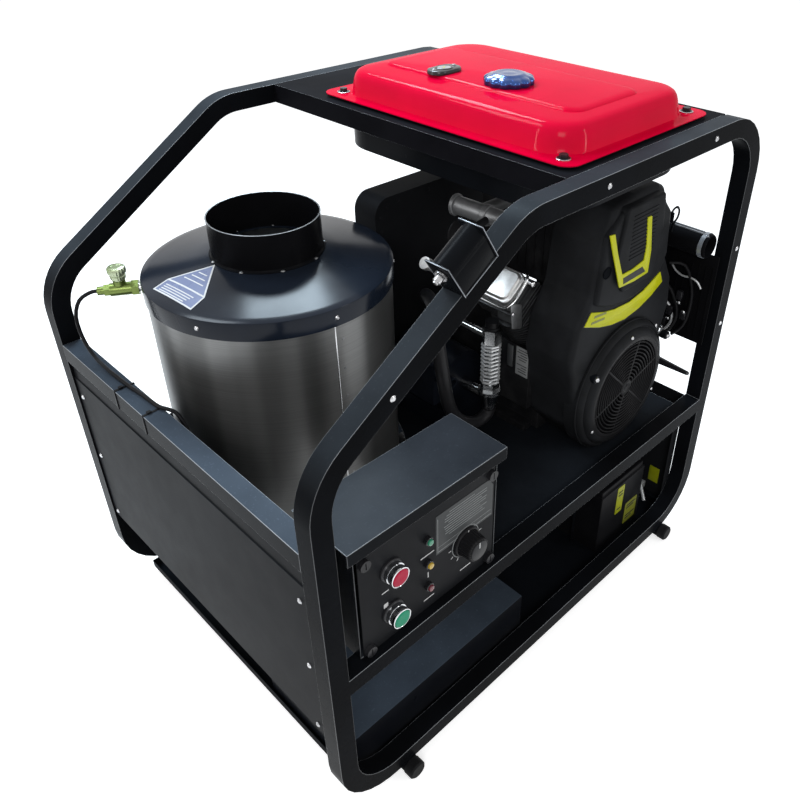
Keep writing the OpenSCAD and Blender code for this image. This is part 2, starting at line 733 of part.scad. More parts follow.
module burner_motor() {
    color("#2f3338") lift() difference() {
        union() {
            rod_y(scroll_x, burner_h, scroll_y[0] - 100, scroll_y[0], 46);
            rod_y(scroll_x, burner_h, scroll_y[0] - 112, scroll_y[0] - 100, 30);
            block([scroll_x - 20, scroll_y[0] - 80, burner_h + 44], [scroll_x + 20, scroll_y[0] - 20, burner_h + 62]);
        }
        rod_y(scroll_x, burner_h, scroll_y[0] - 42, scroll_y[0] + 1, shaft_r + fit);
    }
}

// ---- Hot water outlet ----
tee_start = lid_r + 6;
tee_mid = 32;
tee_end = 72;
relief_r = 8;

module outlet_pipe() {
    color("#b3b6ba") lift() {
        toward_tee(coil_r) cylinder(r = pipe_r, h = tee_start - coil_r);
        at_boiler() rotate([0, 0, tee_angle]) translate([coil_r, 0, coil_top_h + coil_seat])
            cylinder(r = pipe_r, h = tee_h - coil_top_h - coil_seat);
        at_boiler() rotate([0, 0, tee_angle]) translate([coil_r, 0, tee_h]) sphere(r = pipe_r);
    }
}

module tee_fitting() {
    color("#9a8f4a") lift() {
        difference() {
            union() {
                toward_tee(tee_start) hex_bar(26, 12);
                toward_tee(tee_start + 12) cylinder(r = 12, h = 38);
                toward_tee(tee_start + 50) hex_bar(20, 10);
                toward_tee(tee_start + 60) cylinder(r = pipe_r, h = tee_end - 60);
                at_boiler() rotate([0, 0, tee_angle]) translate([tee_start + tee_mid, 0, tee_h])
                    cylinder(r = relief_r, h = 36);
            }
            toward_tee(tee_start + tee_mid) cylinder(r = 4.5, h = 60);
        }
        at_boiler() rotate([0, 0, tee_angle]) translate([tee_start + tee_mid, 0, tee_h + 10]) cylinder(r = 11, h = 8);
    }
}

module relief_cap() {
    color("#8a8f93") lift() at_boiler() rotate([0, 0, tee_angle]) translate([tee_start + tee_mid, 0, tee_h + 18 + seat_gap])
        difference() {
            union() {
                cylinder(r = 11, h = 24);
                translate([0, 0, 24]) cylinder(r1 = 10, r2 = 7, h = 3);
            }
            translate([0, 0, -1]) cylinder(r = relief_r + fit, h = 19.5);
        }
}

// ---- Sensor cable, tied to the end rail ----
cable_r = 3.5;
tie_y = [122, 61];
cable_points = [[-499, 288, 768], [-511, 296, 766], [-530, 304, 754], [-543, 304, 726], [-546, 292, 690],
    [-544, 270, 662], [-541, 235, 649], [-538, 190, 645], [-536, 150, 644.5], [-533, 122, 644.5],
    [-531, 90, 644.5], [-529, 61, 644.5], [-522, 42, 645], [-515, 28, 640], [-512, 12, 622], [-510, -10, 590],
    [-509, -50, 562], [-506, -110, 546], [-496, -170, 540], [-480, -215, 540], [-470, -245, 540],
    [-470, -269.7, 540]];
cable_route = smooth(cable_points, 3);

module sensor_cable() {
    color("#17181a") lift() {
        sweep_tube(cable_route, cable_r, 8);
        for (y = tie_y) translate([0, y, 0]) difference() {
            block([-half_l - 1.5, -2.5, end_rail_h - tube - 1.5], [-inner_x + 1.5, 2.5, end_rail_h + 9]);
            block([-half_l, -3, end_rail_h - tube], [-inner_x, 3, end_rail_h + 7.5]);
        }
    }
}

// ---- Engine ----
case_y = [-215, 105];
journal_r = 20;
web_r = 62;
case_r = 108;
fan_y = [-300, -232];
cyl_y = [-146, -110];
side_box_out = 160;
side_box_x = crank_x - side_box_out;
side_box_y = [-204.7, -125];
case_base = [112, 140];
case_wall = 16;

module crankcase() {
    color("#5c6066") lift() difference() {
        union() {
            rod_y(crank_x, crank_h, case_y[0], case_y[1], case_r);
            block([crank_x - case_base[0], case_y[0] + 15, deck_h], [crank_x + case_base[0], case_y[1] - 15, crank_h - 40]);
            block([crank_x - case_base[1], case_y[0] + 30, deck_h], [crank_x + case_base[1], case_y[1] - 30, deck_h + 16]);
            block([side_box_x, side_box_y[0], crank_h - 47], [crank_x - case_r + 30, side_box_y[1], crank_h + 48]);
            block([side_box_x, side_box_y[0], crank_h + 40], [side_box_x + 6, side_box_y[1], crank_h + 100]);
        }
        rod_y(crank_x, crank_h, case_y[0] + 40, case_y[1] - 40, case_r - case_wall);
        rod_y(crank_x, crank_h, case_y[0] - 1, case_y[1] + 1, journal_r + fit);
    }
}

module at_bank(side) {
    translate([crank_x, cyl_y[side < 0 ? 0 : 1], crank_h]) rotate([0, side * v_angle, 0]) children();
}

bank_foot = case_r + seat_gap;
bank_head = 246;
head_top = 296;
bore_r = 34;
head_half = 43;
fin_pitch = 9;

module finned_barrel() {
    n = floor((bank_head - bank_foot) / fin_pitch) - 1;
    rotate_extrude() {
        translate([bore_r, bank_foot]) square([12, bank_head - bank_foot]);
        for (i = [0 : n]) translate([bore_r + 10, bank_foot + i * fin_pitch]) square([12, 3]);
    }
}

module cylinders() {
    color("#8b8f94") lift() for (side = [-1, 1]) at_bank(side) {
        finned_barrel();
        for (i = [0 : 4]) translate([-head_half, -56, bank_head + i * 9]) cube([2 * head_half, 112, 3.5]);
        translate([-head_half + 5, -46, bank_head]) cube([2 * head_half - 10, 92, head_top - bank_head]);
    }
}

module pistons() {
    color("#a5a8ac") lift() for (side = [-1, 1]) at_bank(side) translate([0, 0, side < 0 ? bank_foot + 10 : bank_head - 60])
        difference() {
            cylinder(r = bore_r - fit, h = 46);
            translate([0, 0, -1]) cylinder(r = bore_r - 6, h = 36);
            translate([0, bore_r + 1, 16]) rotate([90, 0, 0]) cylinder(r = 9, h = 2 * bore_r + 2);
        }
}

module valve_covers() {
    color("#b7babd") lift() for (side = [-1, 1]) at_bank(side) translate([0, 0, head_top]) {
        linear_extrude(24) rounded([-36, -43], [36, 43], 16);
        translate([0, 0, 24]) linear_extrude(6) rounded([-30, -37], [30, 37], 14);
    }
}

shroud_y = [-318, -205];
ring_y = -345;
shroud_wall = 3;
ring_r = 150;
lobe_half_w = 116;
shoulder_h = [600, 690];

// Front outline of the shroud: a round fan case that narrows into a block above.
shroud_outline = concat(
    [for (a = [200 : 10 : 340]) around([crank_x, crank_h], ring_r, a)],
    [[crank_x + shroud_half_w - 20, 530], [crank_x + shroud_half_w, shoulder_h[0]],
     [crank_x + shroud_half_w - 12, shoulder_h[1] - 20], [crank_x + lobe_half_w + 14, shoulder_h[1] + 40],
     [crank_x + lobe_half_w, shroud_top_h - 75], [crank_x + 82, shroud_top_h - 12], [crank_x + 60, shroud_top_h],
     [crank_x - 20, shroud_top_h], [crank_x - 82, shroud_top_h - 8],
     [crank_x - lobe_half_w, shroud_top_h - 70], [crank_x - lobe_half_w - 14, shoulder_h[1] + 40],
     [crank_x - shroud_half_w + 12, shoulder_h[1] - 20], [crank_x - shroud_half_w, shoulder_h[0]],
     [crank_x - shroud_half_w + 20, 530]]);

function shrink(pts, c, f) = [for (p = pts) c + (p - c) * f];
shroud_mid = [crank_x, 620];

module fan_shroud() {
    color("#3c3e42") lift() difference() {
        union() {
            along_y(shroud_y[0], shroud_y[1]) polygon(shroud_outline);
            translate([crank_x, shroud_y[0], crank_h]) rotate([90, 0, 0])
                cylinder(r1 = ring_r, r2 = ring_r - 14, h = shroud_y[0] - ring_y);
            along_y(shroud_y[0] - 16, shroud_y[0]) polygon([[crank_x - 62, shroud_top_h - 14], [crank_x - 40, crank_h + 80],
                [crank_x + 40, crank_h + 80], [crank_x + 62, shroud_top_h - 14]]);
        }
        along_y(shroud_y[0] + shroud_wall, shroud_y[1] + 1) polygon(shrink(shroud_outline, shroud_mid, 0.98));
        rod_y(crank_x, crank_h, ring_y - 1, shroud_y[1], fan_open_r);
        for (s = [-1, 1]) rod_y(crank_x + s * 88, 792, shroud_y[0] - 1, shroud_y[0] + 1.5, 9);
        block([crank_x - ring_r, ring_y - 1, deck_h - 40], [crank_x + ring_r, shroud_y[1] + 1, deck_h + seat_gap]);
    }
    color("#3c3e42") lift() {
        rod_x(lever_y, lever_h, crank_x + ring_r - 6, lever_x, 9);
        rod_x(lever_y, lever_h, lever_x, lever_x + lever_w + 3, lever_pin_r);
    }
}

lever_x = crank_x + shroud_half_w;
lever_y = -300;
lever_h = crank_h - 31;
lever_w = 14;
lever_pin_r = 5;

grille_rings = 7;

module fan_grille() {
    step = (fan_open_r - 16) / grille_rings;
    color("#232427") lift() translate([crank_x, ring_y + 6, crank_h]) rotate([90, 0, 0]) {
        rotate_extrude() for (i = [0 : grille_rings]) translate([13 + i * step, 0]) square([3, 4]);
        for (a = [0 : 60 : 359]) rotate(a) translate([14, -2, 0]) cube([fan_open_r - 14, 4, 3]);
        difference() {
            cylinder(r = fan_open_r + 8, h = 9);
            translate([0, 0, -1]) cylinder(r = fan_open_r - 3, h = 12);
            translate([0, 0, -1]) difference() {
                cylinder(r = fan_open_r + 20, h = 7);
                cylinder(r = fan_open_r - 0.5, h = 9);
            }
        }
        cylinder(r = 15, h = 5);
    }
}

module cooling_fan() {
    color("#2b2d30") lift() {
        difference() {
            union() {
                rod_y(crank_x, crank_h, fan_y[1] - 12, fan_y[1], 102);
                rod_y(crank_x, crank_h, fan_y[0], fan_y[1], 34);
                for (a = [0 : 30 : 359]) translate([crank_x, fan_y[0] + 8, crank_h]) rotate([0, a, 0])
                    translate([30, 0, -1.5]) cube([70, fan_y[1] - fan_y[0] - 18, 3]);
            }
            rod_y(crank_x, crank_h, fan_y[0] - 1, fan_y[1] + 1, 15);
        }
    }
}

belt_y = [134, 166];
shaft_end = 178;

module crankshaft() {
    web_y = (case_y[0] + case_y[1]) / 2;
    color("#9da1a6") lift() {
        rod_y(crank_x, crank_h, fan_y[0] - 8, fan_y[1], 15);
        rod_y(crank_x, crank_h, fan_y[1], web_y - 34, journal_r);
        rod_y(crank_x, crank_h, web_y + 34, belt_y[0] - 6, journal_r);
        rod_y(crank_x, crank_h, belt_y[0] - 6, shaft_end, 15);
        for (y = [web_y - 34, web_y + 20]) rod_y(crank_x, crank_h, y, y + 14, web_r);
        rod_y(crank_x, crank_h + 36, web_y - 20, web_y + 20, 18);
        translate([crank_x, 0, crank_h]) difference() {
            translate([0, belt_y[0] - cheek, 0]) rotate([-90, 0, 0]) grooved_wheel(drive_pulley_r, belt_y[1] - belt_y[0] + 2 * cheek);
            rod_y(0, 0, belt_y[0] - 10, belt_y[1] + 10, 15);
        }
    }
}

cheek = 3;
cheek_rise = 7;

// A flanged belt wheel, its axis along Z.
module grooved_wheel(r, w) {
    rotate_extrude() polygon([[0, 0], [r + cheek_rise, 0], [r + cheek_rise, 2], [r, cheek], [r, w - cheek],
        [r + cheek_rise, w - 2], [r + cheek_rise, w], [0, w]]);
}

belt_t = 5.5;
belt_side_gap = 1;

// Outline of the belt round both pulleys; both shafts are level.
function belt_line(off) = let (d = crank_x - pump_x, a = acos((pump_pulley_r - drive_pulley_r) / d),
    big = pump_pulley_r + off, small = drive_pulley_r + off)
    concat([for (i = [0 : 24]) around([pump_x, crank_h], big, a + (360 - 2 * a) * i / 24)],
        [for (i = [0 : 16]) around([crank_x, crank_h], small, -a + 2 * a * i / 16)]);

module drive_belt() {
    color("#0f1011") lift() along_y(belt_y[0] + belt_side_gap, belt_y[1] - belt_side_gap) difference() {
        polygon(belt_line(belt_t));
        polygon(belt_line(seat_gap));
    }
}

// ---- Pump ----
pump_case = [50, 145];
pump_y = [-62, 100];
pump_shaft_r = 14;
pump_foot_h = 52;
head_x = [8, 42];
inlet_h = crank_h + 24;
inlet_r = 12.5;

module pump_body() {
    color("#2e4a6e") lift() difference() {
        union() {
            rod_y(pump_x, crank_h, pump_y[0], pump_y[1], 56);
            block([pump_x - 50, pump_y[0], crank_h - 78], [pump_x + 50, pump_y[1], crank_h]);
            block([pump_x - 60, pump_y[0], deck_h], [pump_x + 60, pump_y[1], deck_h + pump_foot_h]);
            block([head_x[0], pump_y[0] + 8, crank_h - 48], [head_x[1], pump_y[1] - 12, crank_h + 42]);
            for (y = [pump_y[0] + 34, pump_y[0] + 76, pump_y[0] + 118]) {
                translate([head_x[0] + 17, y, crank_h + 42]) hex_bar(27, 14);
                rod_x(y, crank_h, head_x[1], pump_x, 15);
            }
            rod_y(head_x[0] + 17, inlet_h, pump_y[0] - 34, pump_y[0] + 8, inlet_r);
            rod_y(head_x[0] + 17, inlet_h, pump_y[0] - 14, pump_y[0] + 8, inlet_r + 3.5);
        }
        rod_y(pump_x, crank_h, pump_y[1] - 60, pump_y[1] + 1, pump_shaft_r + fit);
        rod_y(head_x[0] + 17, inlet_h, pump_y[0] - 35, pump_y[0] + 20, inlet_r - 3.5);
    }
}

module pump_pulley() {
    color("#44474b") lift() {
        rod_y(pump_x, crank_h, pump_y[1] - 55, belt_y[0] - 2, pump_shaft_r);
        translate([pump_x, belt_y[0] - cheek, crank_h]) rotate([-90, 0, 0])
            grooved_wheel(pump_pulley_r, belt_y[1] - belt_y[0] + 2 * cheek);
    }
}

valve_at = [91, -140];
valve_low_h = crank_h - 44;
spring_seat = 62;
spring_low_h = valve_low_h + spring_seat;
valve_cup_h = 46;
valve_port_drop = 20;
valve_hex = 36;
spring_pitch = 9.2;
flat_turn = spring_wire + 0.8;
stem_r = 9;
spring_clear = 0.2;
spring_top_h = spring_low_h + spring_wire + 2 * flat_turn + spring_pitch * spring_curls + 2 * spring_clear;
block_h = 32;
stem_over = 12;
bypass_x = valve_at[0] - 6;
bypass_h = spring_top_h + 14;
bypass_end = -42;

module unloader_valve() {
    color("#a0a3a6") lift() {
        translate([valve_at[0], valve_at[1], valve_low_h]) {
            cylinder(r = 15, h = 12);
            translate([0, 0, 12]) cylinder(r1 = 18, r2 = 25, h = 26);
            translate([0, 0, 38]) cylinder(r = 25, h = valve_cup_h - 38);
            translate([0, 0, valve_cup_h]) hex_bar(valve_hex, spring_seat - valve_cup_h);
            translate([0, 0, spring_low_h - valve_low_h])
                cylinder(r = stem_r, h = spring_top_h + block_h + stem_over - spring_low_h);
            translate([0, 0, spring_top_h - valve_low_h]) hex_bar(valve_hex, block_h);
        }
        rod_y(valve_at[0], crank_h - valve_port_drop, valve_at[1], pump_y[0], 13);
        rod_y(bypass_x, bypass_h, valve_at[1], bypass_end, 8.5);
        rod_y(bypass_x, bypass_h, bypass_end - 14, bypass_end, 11);
    }
}

module unloader_knob() {
    color("#141516") lift() translate([valve_at[0], valve_at[1], spring_top_h + block_h + seat_gap]) difference() {
        union() {
            cylinder(r = 16, h = 5);
            translate([0, 0, 5]) cylinder(r = 14, h = stem_over + 1);
        }
        translate([0, 0, -1]) cylinder(r = stem_r + fit, h = stem_over + 2);
    }
}

// One unbroken wire, 8 rings to a curl, with a closed turn at each end.
function spring_rise(t) = flat_turn * min(t, 1) + spring_pitch * max(0, min(t - 1, spring_curls))
    + flat_turn * max(0, t - spring_curls - 1);
spring_route = [for (i = [0 : 8 * spring_curls + 16]) [valve_at[0] + spring_r * cos(45 * i),
    valve_at[1] + spring_r * sin(45 * i), spring_low_h + spring_wire / 2 + spring_clear + spring_rise(i / 8)]];

function ring_gap(route, per, wire) = min([for (i = [0 : len(route) - per - 1]) for (k = [per - 2 : per + 2])
    if (i + k < len(route)) norm(route[i] - route[i + k]) - wire]);
echo(spring_gap = ring_gap(spring_route, 8, spring_wire));

module unloader_spring() { color("#c6c9cc") lift() sweep_tube(spring_route, spring_wire / 2, 6); }

hose_r = 14;
hose_points = [[91, -140, 427.7], [91, -140, 424], [91, -140, 419], [85, -140, 410], [70, -140, 404.5], [52, -140, 405], [35, -141, 411],
    [5, -142, 432], [-20, -142, 462], [-36, -142, 500], [-45, -141, 545], [-50, -138, 590], [-50, -130, 630],
    [-40, -114, 660], [-18, -88, 676], [8, -52, 678], [34, -14, 668], [58, 18, 650], [76, 32, 628],
    [85, 24, 609], [85, 0, 604], [85, -20, 603.8], [85, -41.7, 603.8]];
hose_route = smooth(hose_points, 2);

module pump_hose() { color("#121314") lift() sweep_tube(hose_route, hose_r, 12); }

// ---- Belt guard ----
guard_y = 118;
guard_x = [14, 410];
guard_top_h = 840;
guard_t = 2;
guard_rim = 66;
guard_corner = 36;

module guard_outline(in) {
    difference() {
        rounded([guard_x[0] + in, deck_h - 2 * guard_corner], [guard_x[1] - in, guard_top_h - in], guard_corner - in);
        translate([guard_x[0] - 1, deck_h - 3 * guard_corner]) square([guard_x[1] - guard_x[0] + 2, 3 * guard_corner]);
    }
}

module guard_plate() {
    color("#1f2023") lift() {
        difference() {
            along_y(guard_y, guard_y + guard_rim) guard_outline(0);
            along_y(guard_y + guard_t, guard_y + guard_rim + 1) guard_outline(guard_t);
            rod_y(crank_x, crank_h, guard_y - 1, guard_y + 5, journal_r + 8);
            rod_y(pump_x, crank_h, guard_y - 1, guard_y + 5, pump_shaft_r + 8);
        }
        for (p = [[32, -22], [14, -40], [14, -70], [62, -14], [150, -14], [250, -14]])
            translate([guard_x[0] + p[0], guard_y, guard_top_h + p[1]]) rotate([90, 0, 0]) dome_head(4, 2);
    }
}

// ---- Engine fittings ----
duct_x = 84;
duct_h = crank_h + 390;
duct_r = 24;
duct_y = [-176, -44];
cross_drop = 6;
cross_y = -90;
cleaner_y = [-196, 20];
cleaner_half_w = 85;
cleaner_h = [duct_h - 172, duct_h + 23];
cleaner_lid = 24;
manifold = [22, 60];

// Cast intake duct with a cross tube to the air cleaner, which stands on the crankcase between the cylinders.
module air_duct() {
    leg_low = crank_h + case_r + seat_gap;
    cleaner_x = [crank_x - cleaner_half_w, crank_x + cleaner_half_w];
    color("#6d7075") lift() {
        rod_y(duct_x, duct_h, duct_y[0], duct_y[1], duct_r);
        rod_x(cross_y, duct_h - cross_drop, duct_x, crank_x - 20, duct_r - 8);
        translate([0, 0, cleaner_h[0]]) linear_extrude(cleaner_h[1] - cleaner_h[0] - cleaner_lid)
            rounded([cleaner_x[0], cleaner_y[0]], [cleaner_x[1], cleaner_y[1]], 22);
        translate([0, 0, cleaner_h[1] - cleaner_lid]) linear_extrude(cleaner_lid)
            rounded([cleaner_x[0] + 4, cleaner_y[0] + 4], [cleaner_x[1] - 4, cleaner_y[1] - 4], 20);
        translate([crank_x - manifold[0] / 2, cross_y - manifold[1], leg_low])
            cube([manifold[0], manifold[1], cleaner_h[0] + 10 - leg_low]);
    }
}

muffler_x = 494;
muffler_h = 748;
muffler_r = 26;
muffler_wall = 3;
shield_y = [-398, -250];
shield_drop = 236;
shield_t = 2.5;
muffler_y = [-378, -175];
exhaust_r = 10;
exhaust_y = -185;

// The exhaust leaves the near face of the right cylinder's head; a heat shield hangs under the muffler.
module muffler() {
    port = [crank_x + sin(v_angle) * 270 + cos(v_angle) * 20, crank_h + cos(v_angle) * 270 - sin(v_angle) * 20];
    head_y = cyl_y[1] - 56 - seat_gap;
    color("#26282b") lift() {
        difference() {
            rod_y(muffler_x, muffler_h, muffler_y[0], muffler_y[1], muffler_r);
            rod_y(muffler_x, muffler_h, muffler_y[0] - 1, exhaust_y - 15, muffler_r - muffler_wall);
        }
        block([muffler_x + 10, shield_y[0], muffler_h - shield_drop],
            [muffler_x + 10 + shield_t, shield_y[1], muffler_h - muffler_r + 4.5]);
        rod_y(port[0], port[1], exhaust_y - exhaust_r - 3, head_y, exhaust_r + 1);
        rod_y(port[0], port[1], head_y - 6, head_y, exhaust_r + 8);
        rod_x(exhaust_y, port[1], port[0], muffler_x + exhaust_r + 2, exhaust_r);
        translate([muffler_x, exhaust_y, port[1]]) cylinder(r = exhaust_r - 1, h = muffler_h - port[1]);
    }
}

lever_l = 90;
lever_grip_y = 66;

module throttle_lever() {
    color("#121314") lift() translate([lever_x + seat_gap, lever_y, lever_h]) difference() {
        union() {
            rotate([0, 90, 0]) cylinder(r = 13, h = lever_w);
            translate([3, -lever_l, -5]) cube([8, lever_l, 10]);
            translate([7, -lever_grip_y, 0]) rotate([90, 0, 0]) cylinder(r = 8, h = lever_l + 2 - lever_grip_y);
        }
        translate([-1, 0, 0]) rotate([0, 90, 0]) cylinder(r = lever_pin_r + fit, h = lever_w + 2);
    }
}

eye_r = 16;
eye_h = 811;
eye_y = -309;

module lifting_eye() {
    x = crank_x + lobe_half_w + 4.5;
    color("#55585d") lift() {
        translate([x, eye_y - 7, eye_h - 11]) cube([5, 16, 22]);
        translate([x + 5 + eye_r - 2, eye_y, eye_h]) rotate([90, 0, 0]) rotate_extrude() translate([eye_r, 0])
            circle(3.2, $fn = 24);
    }
}

coil_can_r = 22;
coil_can_l = 68;
coil_can_t = 0.755;

module ignition_coil() {
    foot = [-leg_mid + rake_run * coil_can_t, rake_low_h + (top_mid - rake_low_h) * coil_can_t];
    color("#17181b") lift() translate([foot[0], -half_w + 14, foot[1]]) rotate([0, 90 - rake_angle, 0])
        translate([-tube / 2 - coil_can_r - 0.3, 0, -coil_can_l / 2]) {
            cylinder(r = coil_can_r, h = coil_can_l);
            for (z = [-3, coil_can_l]) translate([-coil_can_r, -coil_can_r, z])
                cube([2 * coil_can_r + 0.3, 2 * coil_can_r, 3]);
            translate([0, 0, -13]) cylinder(r = 6, h = 10);
        }
}

side_frame_near();
side_frame_far();
end_rail();
top_platform();
foot_bars();
foot_caps();
floor_pan();
end_panel();
sheet_screws();
deck_plate();
control_box();
face_plate();
face_fasteners();
red_button();
green_button();
button_bezels();
indicator_lamps();
control_knob();
burner_tank();
burner_tank_cap();
battery();
battery_clamp();
tank_upper();
tank_lower();
tank_bolts();
fuel_cap();
fuel_gauge();
boiler_barrel();
boiler_lid();
flue_collar();
heating_coil();
boiler_base();
burner_housing();
burner_wheel();
burner_motor();
tee_fitting();
relief_cap();
outlet_pipe();
sensor_cable();
crankcase();
cylinders();
pistons();
valve_covers();
fan_shroud();
fan_grille();
cooling_fan();
crankshaft();
drive_belt();
pump_body();
pump_pulley();
unloader_valve();
unloader_spring();
unloader_knob();
pump_hose();
guard_plate();
air_duct();
muffler();
throttle_lever();
lifting_eye();
ignition_coil();
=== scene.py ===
"""Hot-water pressure washer on a tube skid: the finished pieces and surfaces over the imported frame."""
import math

import bmesh
import bpy
from mathutils import Matrix, Vector


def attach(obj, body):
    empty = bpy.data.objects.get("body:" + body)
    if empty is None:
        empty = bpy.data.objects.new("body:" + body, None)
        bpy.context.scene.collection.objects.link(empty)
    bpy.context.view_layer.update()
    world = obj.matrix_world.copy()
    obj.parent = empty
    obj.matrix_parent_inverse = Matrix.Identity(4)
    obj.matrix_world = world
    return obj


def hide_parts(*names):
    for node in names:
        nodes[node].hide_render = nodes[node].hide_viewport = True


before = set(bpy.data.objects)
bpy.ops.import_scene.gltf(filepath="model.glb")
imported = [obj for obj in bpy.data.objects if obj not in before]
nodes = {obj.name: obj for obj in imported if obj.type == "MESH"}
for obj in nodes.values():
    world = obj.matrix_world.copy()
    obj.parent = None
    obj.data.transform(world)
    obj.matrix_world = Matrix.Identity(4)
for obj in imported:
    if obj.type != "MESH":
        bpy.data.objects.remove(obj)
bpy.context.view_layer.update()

MM = 0.001
BED = 35.7  # underside of the bottom rails over the ground, in millimetres
TO_FRAME = Matrix.Scale(MM, 4) @ Matrix.Translation((0, 0, BED))
RIGHT = math.pi / 2

# ---- Camera ----
EYE = (-0.9564, -1.0542, 1.4924)
EYE_TURN = -45.46
EYE_TILT = 56.50
EYE_ROLL = 0.30
LENS = 35.91
SHIFT = (-0.0634, -0.0470)

camera_data = bpy.data.cameras.new("camera")
camera_data.sensor_width = 36.0
camera_data.lens = LENS
camera_data.shift_x, camera_data.shift_y = SHIFT
camera_data.clip_start = 0.02
camera = bpy.data.objects.new("camera", camera_data)
camera.matrix_world = (
    Matrix.Translation(EYE)
    @ Matrix.Rotation(math.radians(EYE_TURN), 4, "Z")
    @ Matrix.Rotation(math.radians(EYE_TILT), 4, "X")
    @ Matrix.Rotation(math.radians(EYE_ROLL), 4, "Z")
)
bpy.context.scene.collection.objects.link(camera)
bpy.context.scene.camera = camera

# ---- Surface effects, each one shader group ----


def new_group(name, extra_inputs=()):
    """An empty surface group: colours and numbers in, colour, roughness and height out."""
    group = bpy.data.node_groups.new(name, "ShaderNodeTree")
    for label in ("Tint", "Shade"):
        group.interface.new_socket(name=label, in_out="INPUT", socket_type="NodeSocketColor")
    for label in ("Gloss", "Wander", "Scale", "Relief") + tuple(extra_inputs):
        group.interface.new_socket(name=label, in_out="INPUT", socket_type="NodeSocketFloat")
    group.interface.new_socket(name="Color", in_out="OUTPUT", socket_type="NodeSocketColor")
    for label in ("Roughness", "Height"):
        group.interface.new_socket(name=label, in_out="OUTPUT", socket_type="NodeSocketFloat")
    given = group.nodes.new("NodeGroupInput")
    result = group.nodes.new("NodeGroupOutput")
    return group, given, result


def math_node(group, kind, first, second, clamp=False):
    """One arithmetic step; each side is a socket or a number."""
    node = group.nodes.new("ShaderNodeMath")
    node.operation = kind
    node.use_clamp = clamp
    for side, value in zip(node.inputs, (first, second)):
        if isinstance(value, (int, float)):
            side.default_value = value
        else:
            group.links.new(value, side)
    return node.outputs[0]


def plus(group, first, second, clamp=False):
    """Sum of two sockets or numbers."""
    return math_node(group, "ADD", first, second, clamp)


def minus(group, first, second):
    """Difference of two sockets or numbers."""
    return math_node(group, "SUBTRACT", first, second)


def times(group, first, second, clamp=False):
    """Product of two sockets or numbers."""
    return math_node(group, "MULTIPLY", first, second, clamp)


def noise_node(group, where, scale, detail=3.0, roughness=0.5):
    """Noise over the piece's own coordinates."""
    node = group.nodes.new("ShaderNodeTexNoise")
    node.inputs["Detail"].default_value = detail
    node.inputs["Roughness"].default_value = roughness
    group.links.new(where, node.inputs["Vector"])
    if isinstance(scale, (int, float)):
        node.inputs["Scale"].default_value = scale
    else:
        group.links.new(scale, node.inputs["Scale"])
    return node.outputs["Fac"]


def ramp_node(group, value, low, high):
    """Smooth mask that is 0 below low and 1 above high."""
    node = group.nodes.new("ShaderNodeMapRange")
    node.interpolation_type = "SMOOTHSTEP"
    group.links.new(value, node.inputs["Value"])
    node.inputs["From Min"].default_value = low
    node.inputs["From Max"].default_value = high
    return node.outputs["Result"]


def blend_node(group, mask, first, second):
    """Colour between two colours by a mask; each colour is a socket or four numbers."""
    node = group.nodes.new("ShaderNodeMix")
    node.data_type = "RGBA"
    group.links.new(mask, node.inputs["Factor"])
    for side, value in ((node.inputs[6], first), (node.inputs[7], second)):
        if isinstance(value, tuple):
            side.default_value = value
        else:
            group.links.new(value, side)
    return node.outputs[2]


def stretched(group, scale):
    """The piece's own coordinates, stretched."""
    where = group.nodes.new("ShaderNodeTexCoord")
    node = group.nodes.new("ShaderNodeMapping")
    node.inputs["Scale"].default_value = scale
    group.links.new(where.outputs["Object"], node.inputs["Vector"])
    return node.outputs["Vector"]


def height_of(group, where):
    """The upward part of a place or a direction."""
    parts = group.nodes.new("ShaderNodeSeparateXYZ")
    group.links.new(where, parts.inputs["Vector"])
    return parts.outputs["Z"]


def upward(group):
    """How far a surface faces up, from -1 to 1."""
    return height_of(group, group.nodes.new("ShaderNodeNewGeometry").outputs["Normal"])


def own_tones(group, given, mask):
    """The material's own two colours, mixed by a mask."""
    return blend_node(group, mask, given.outputs["Tint"], given.outputs["Shade"])


def wandering_gloss(group, given, noise, clamp=True):
    """The gloss number swung up and down by a noise."""
    swing = times(group, minus(group, noise, 0.5), given.outputs["Wander"])
    return plus(group, given.outputs["Gloss"], swing, clamp)


def close_group(group, given, result, colour, rough, grain):
    """Wires a group's three outputs; grain is the noise that becomes relief."""
    group.links.new(colour, result.inputs["Color"])
    group.links.new(rough, result.inputs["Roughness"])
    group.links.new(times(group, grain, given.outputs["Relief"]), result.inputs["Height"])
    return group


FILM = (0.060, 0.070, 0.086, 1.0)  # painted sky reflection on faces that look up, with a little real dust
HAIRLINE = (0.02, 0.02, 0.022, 1.0)


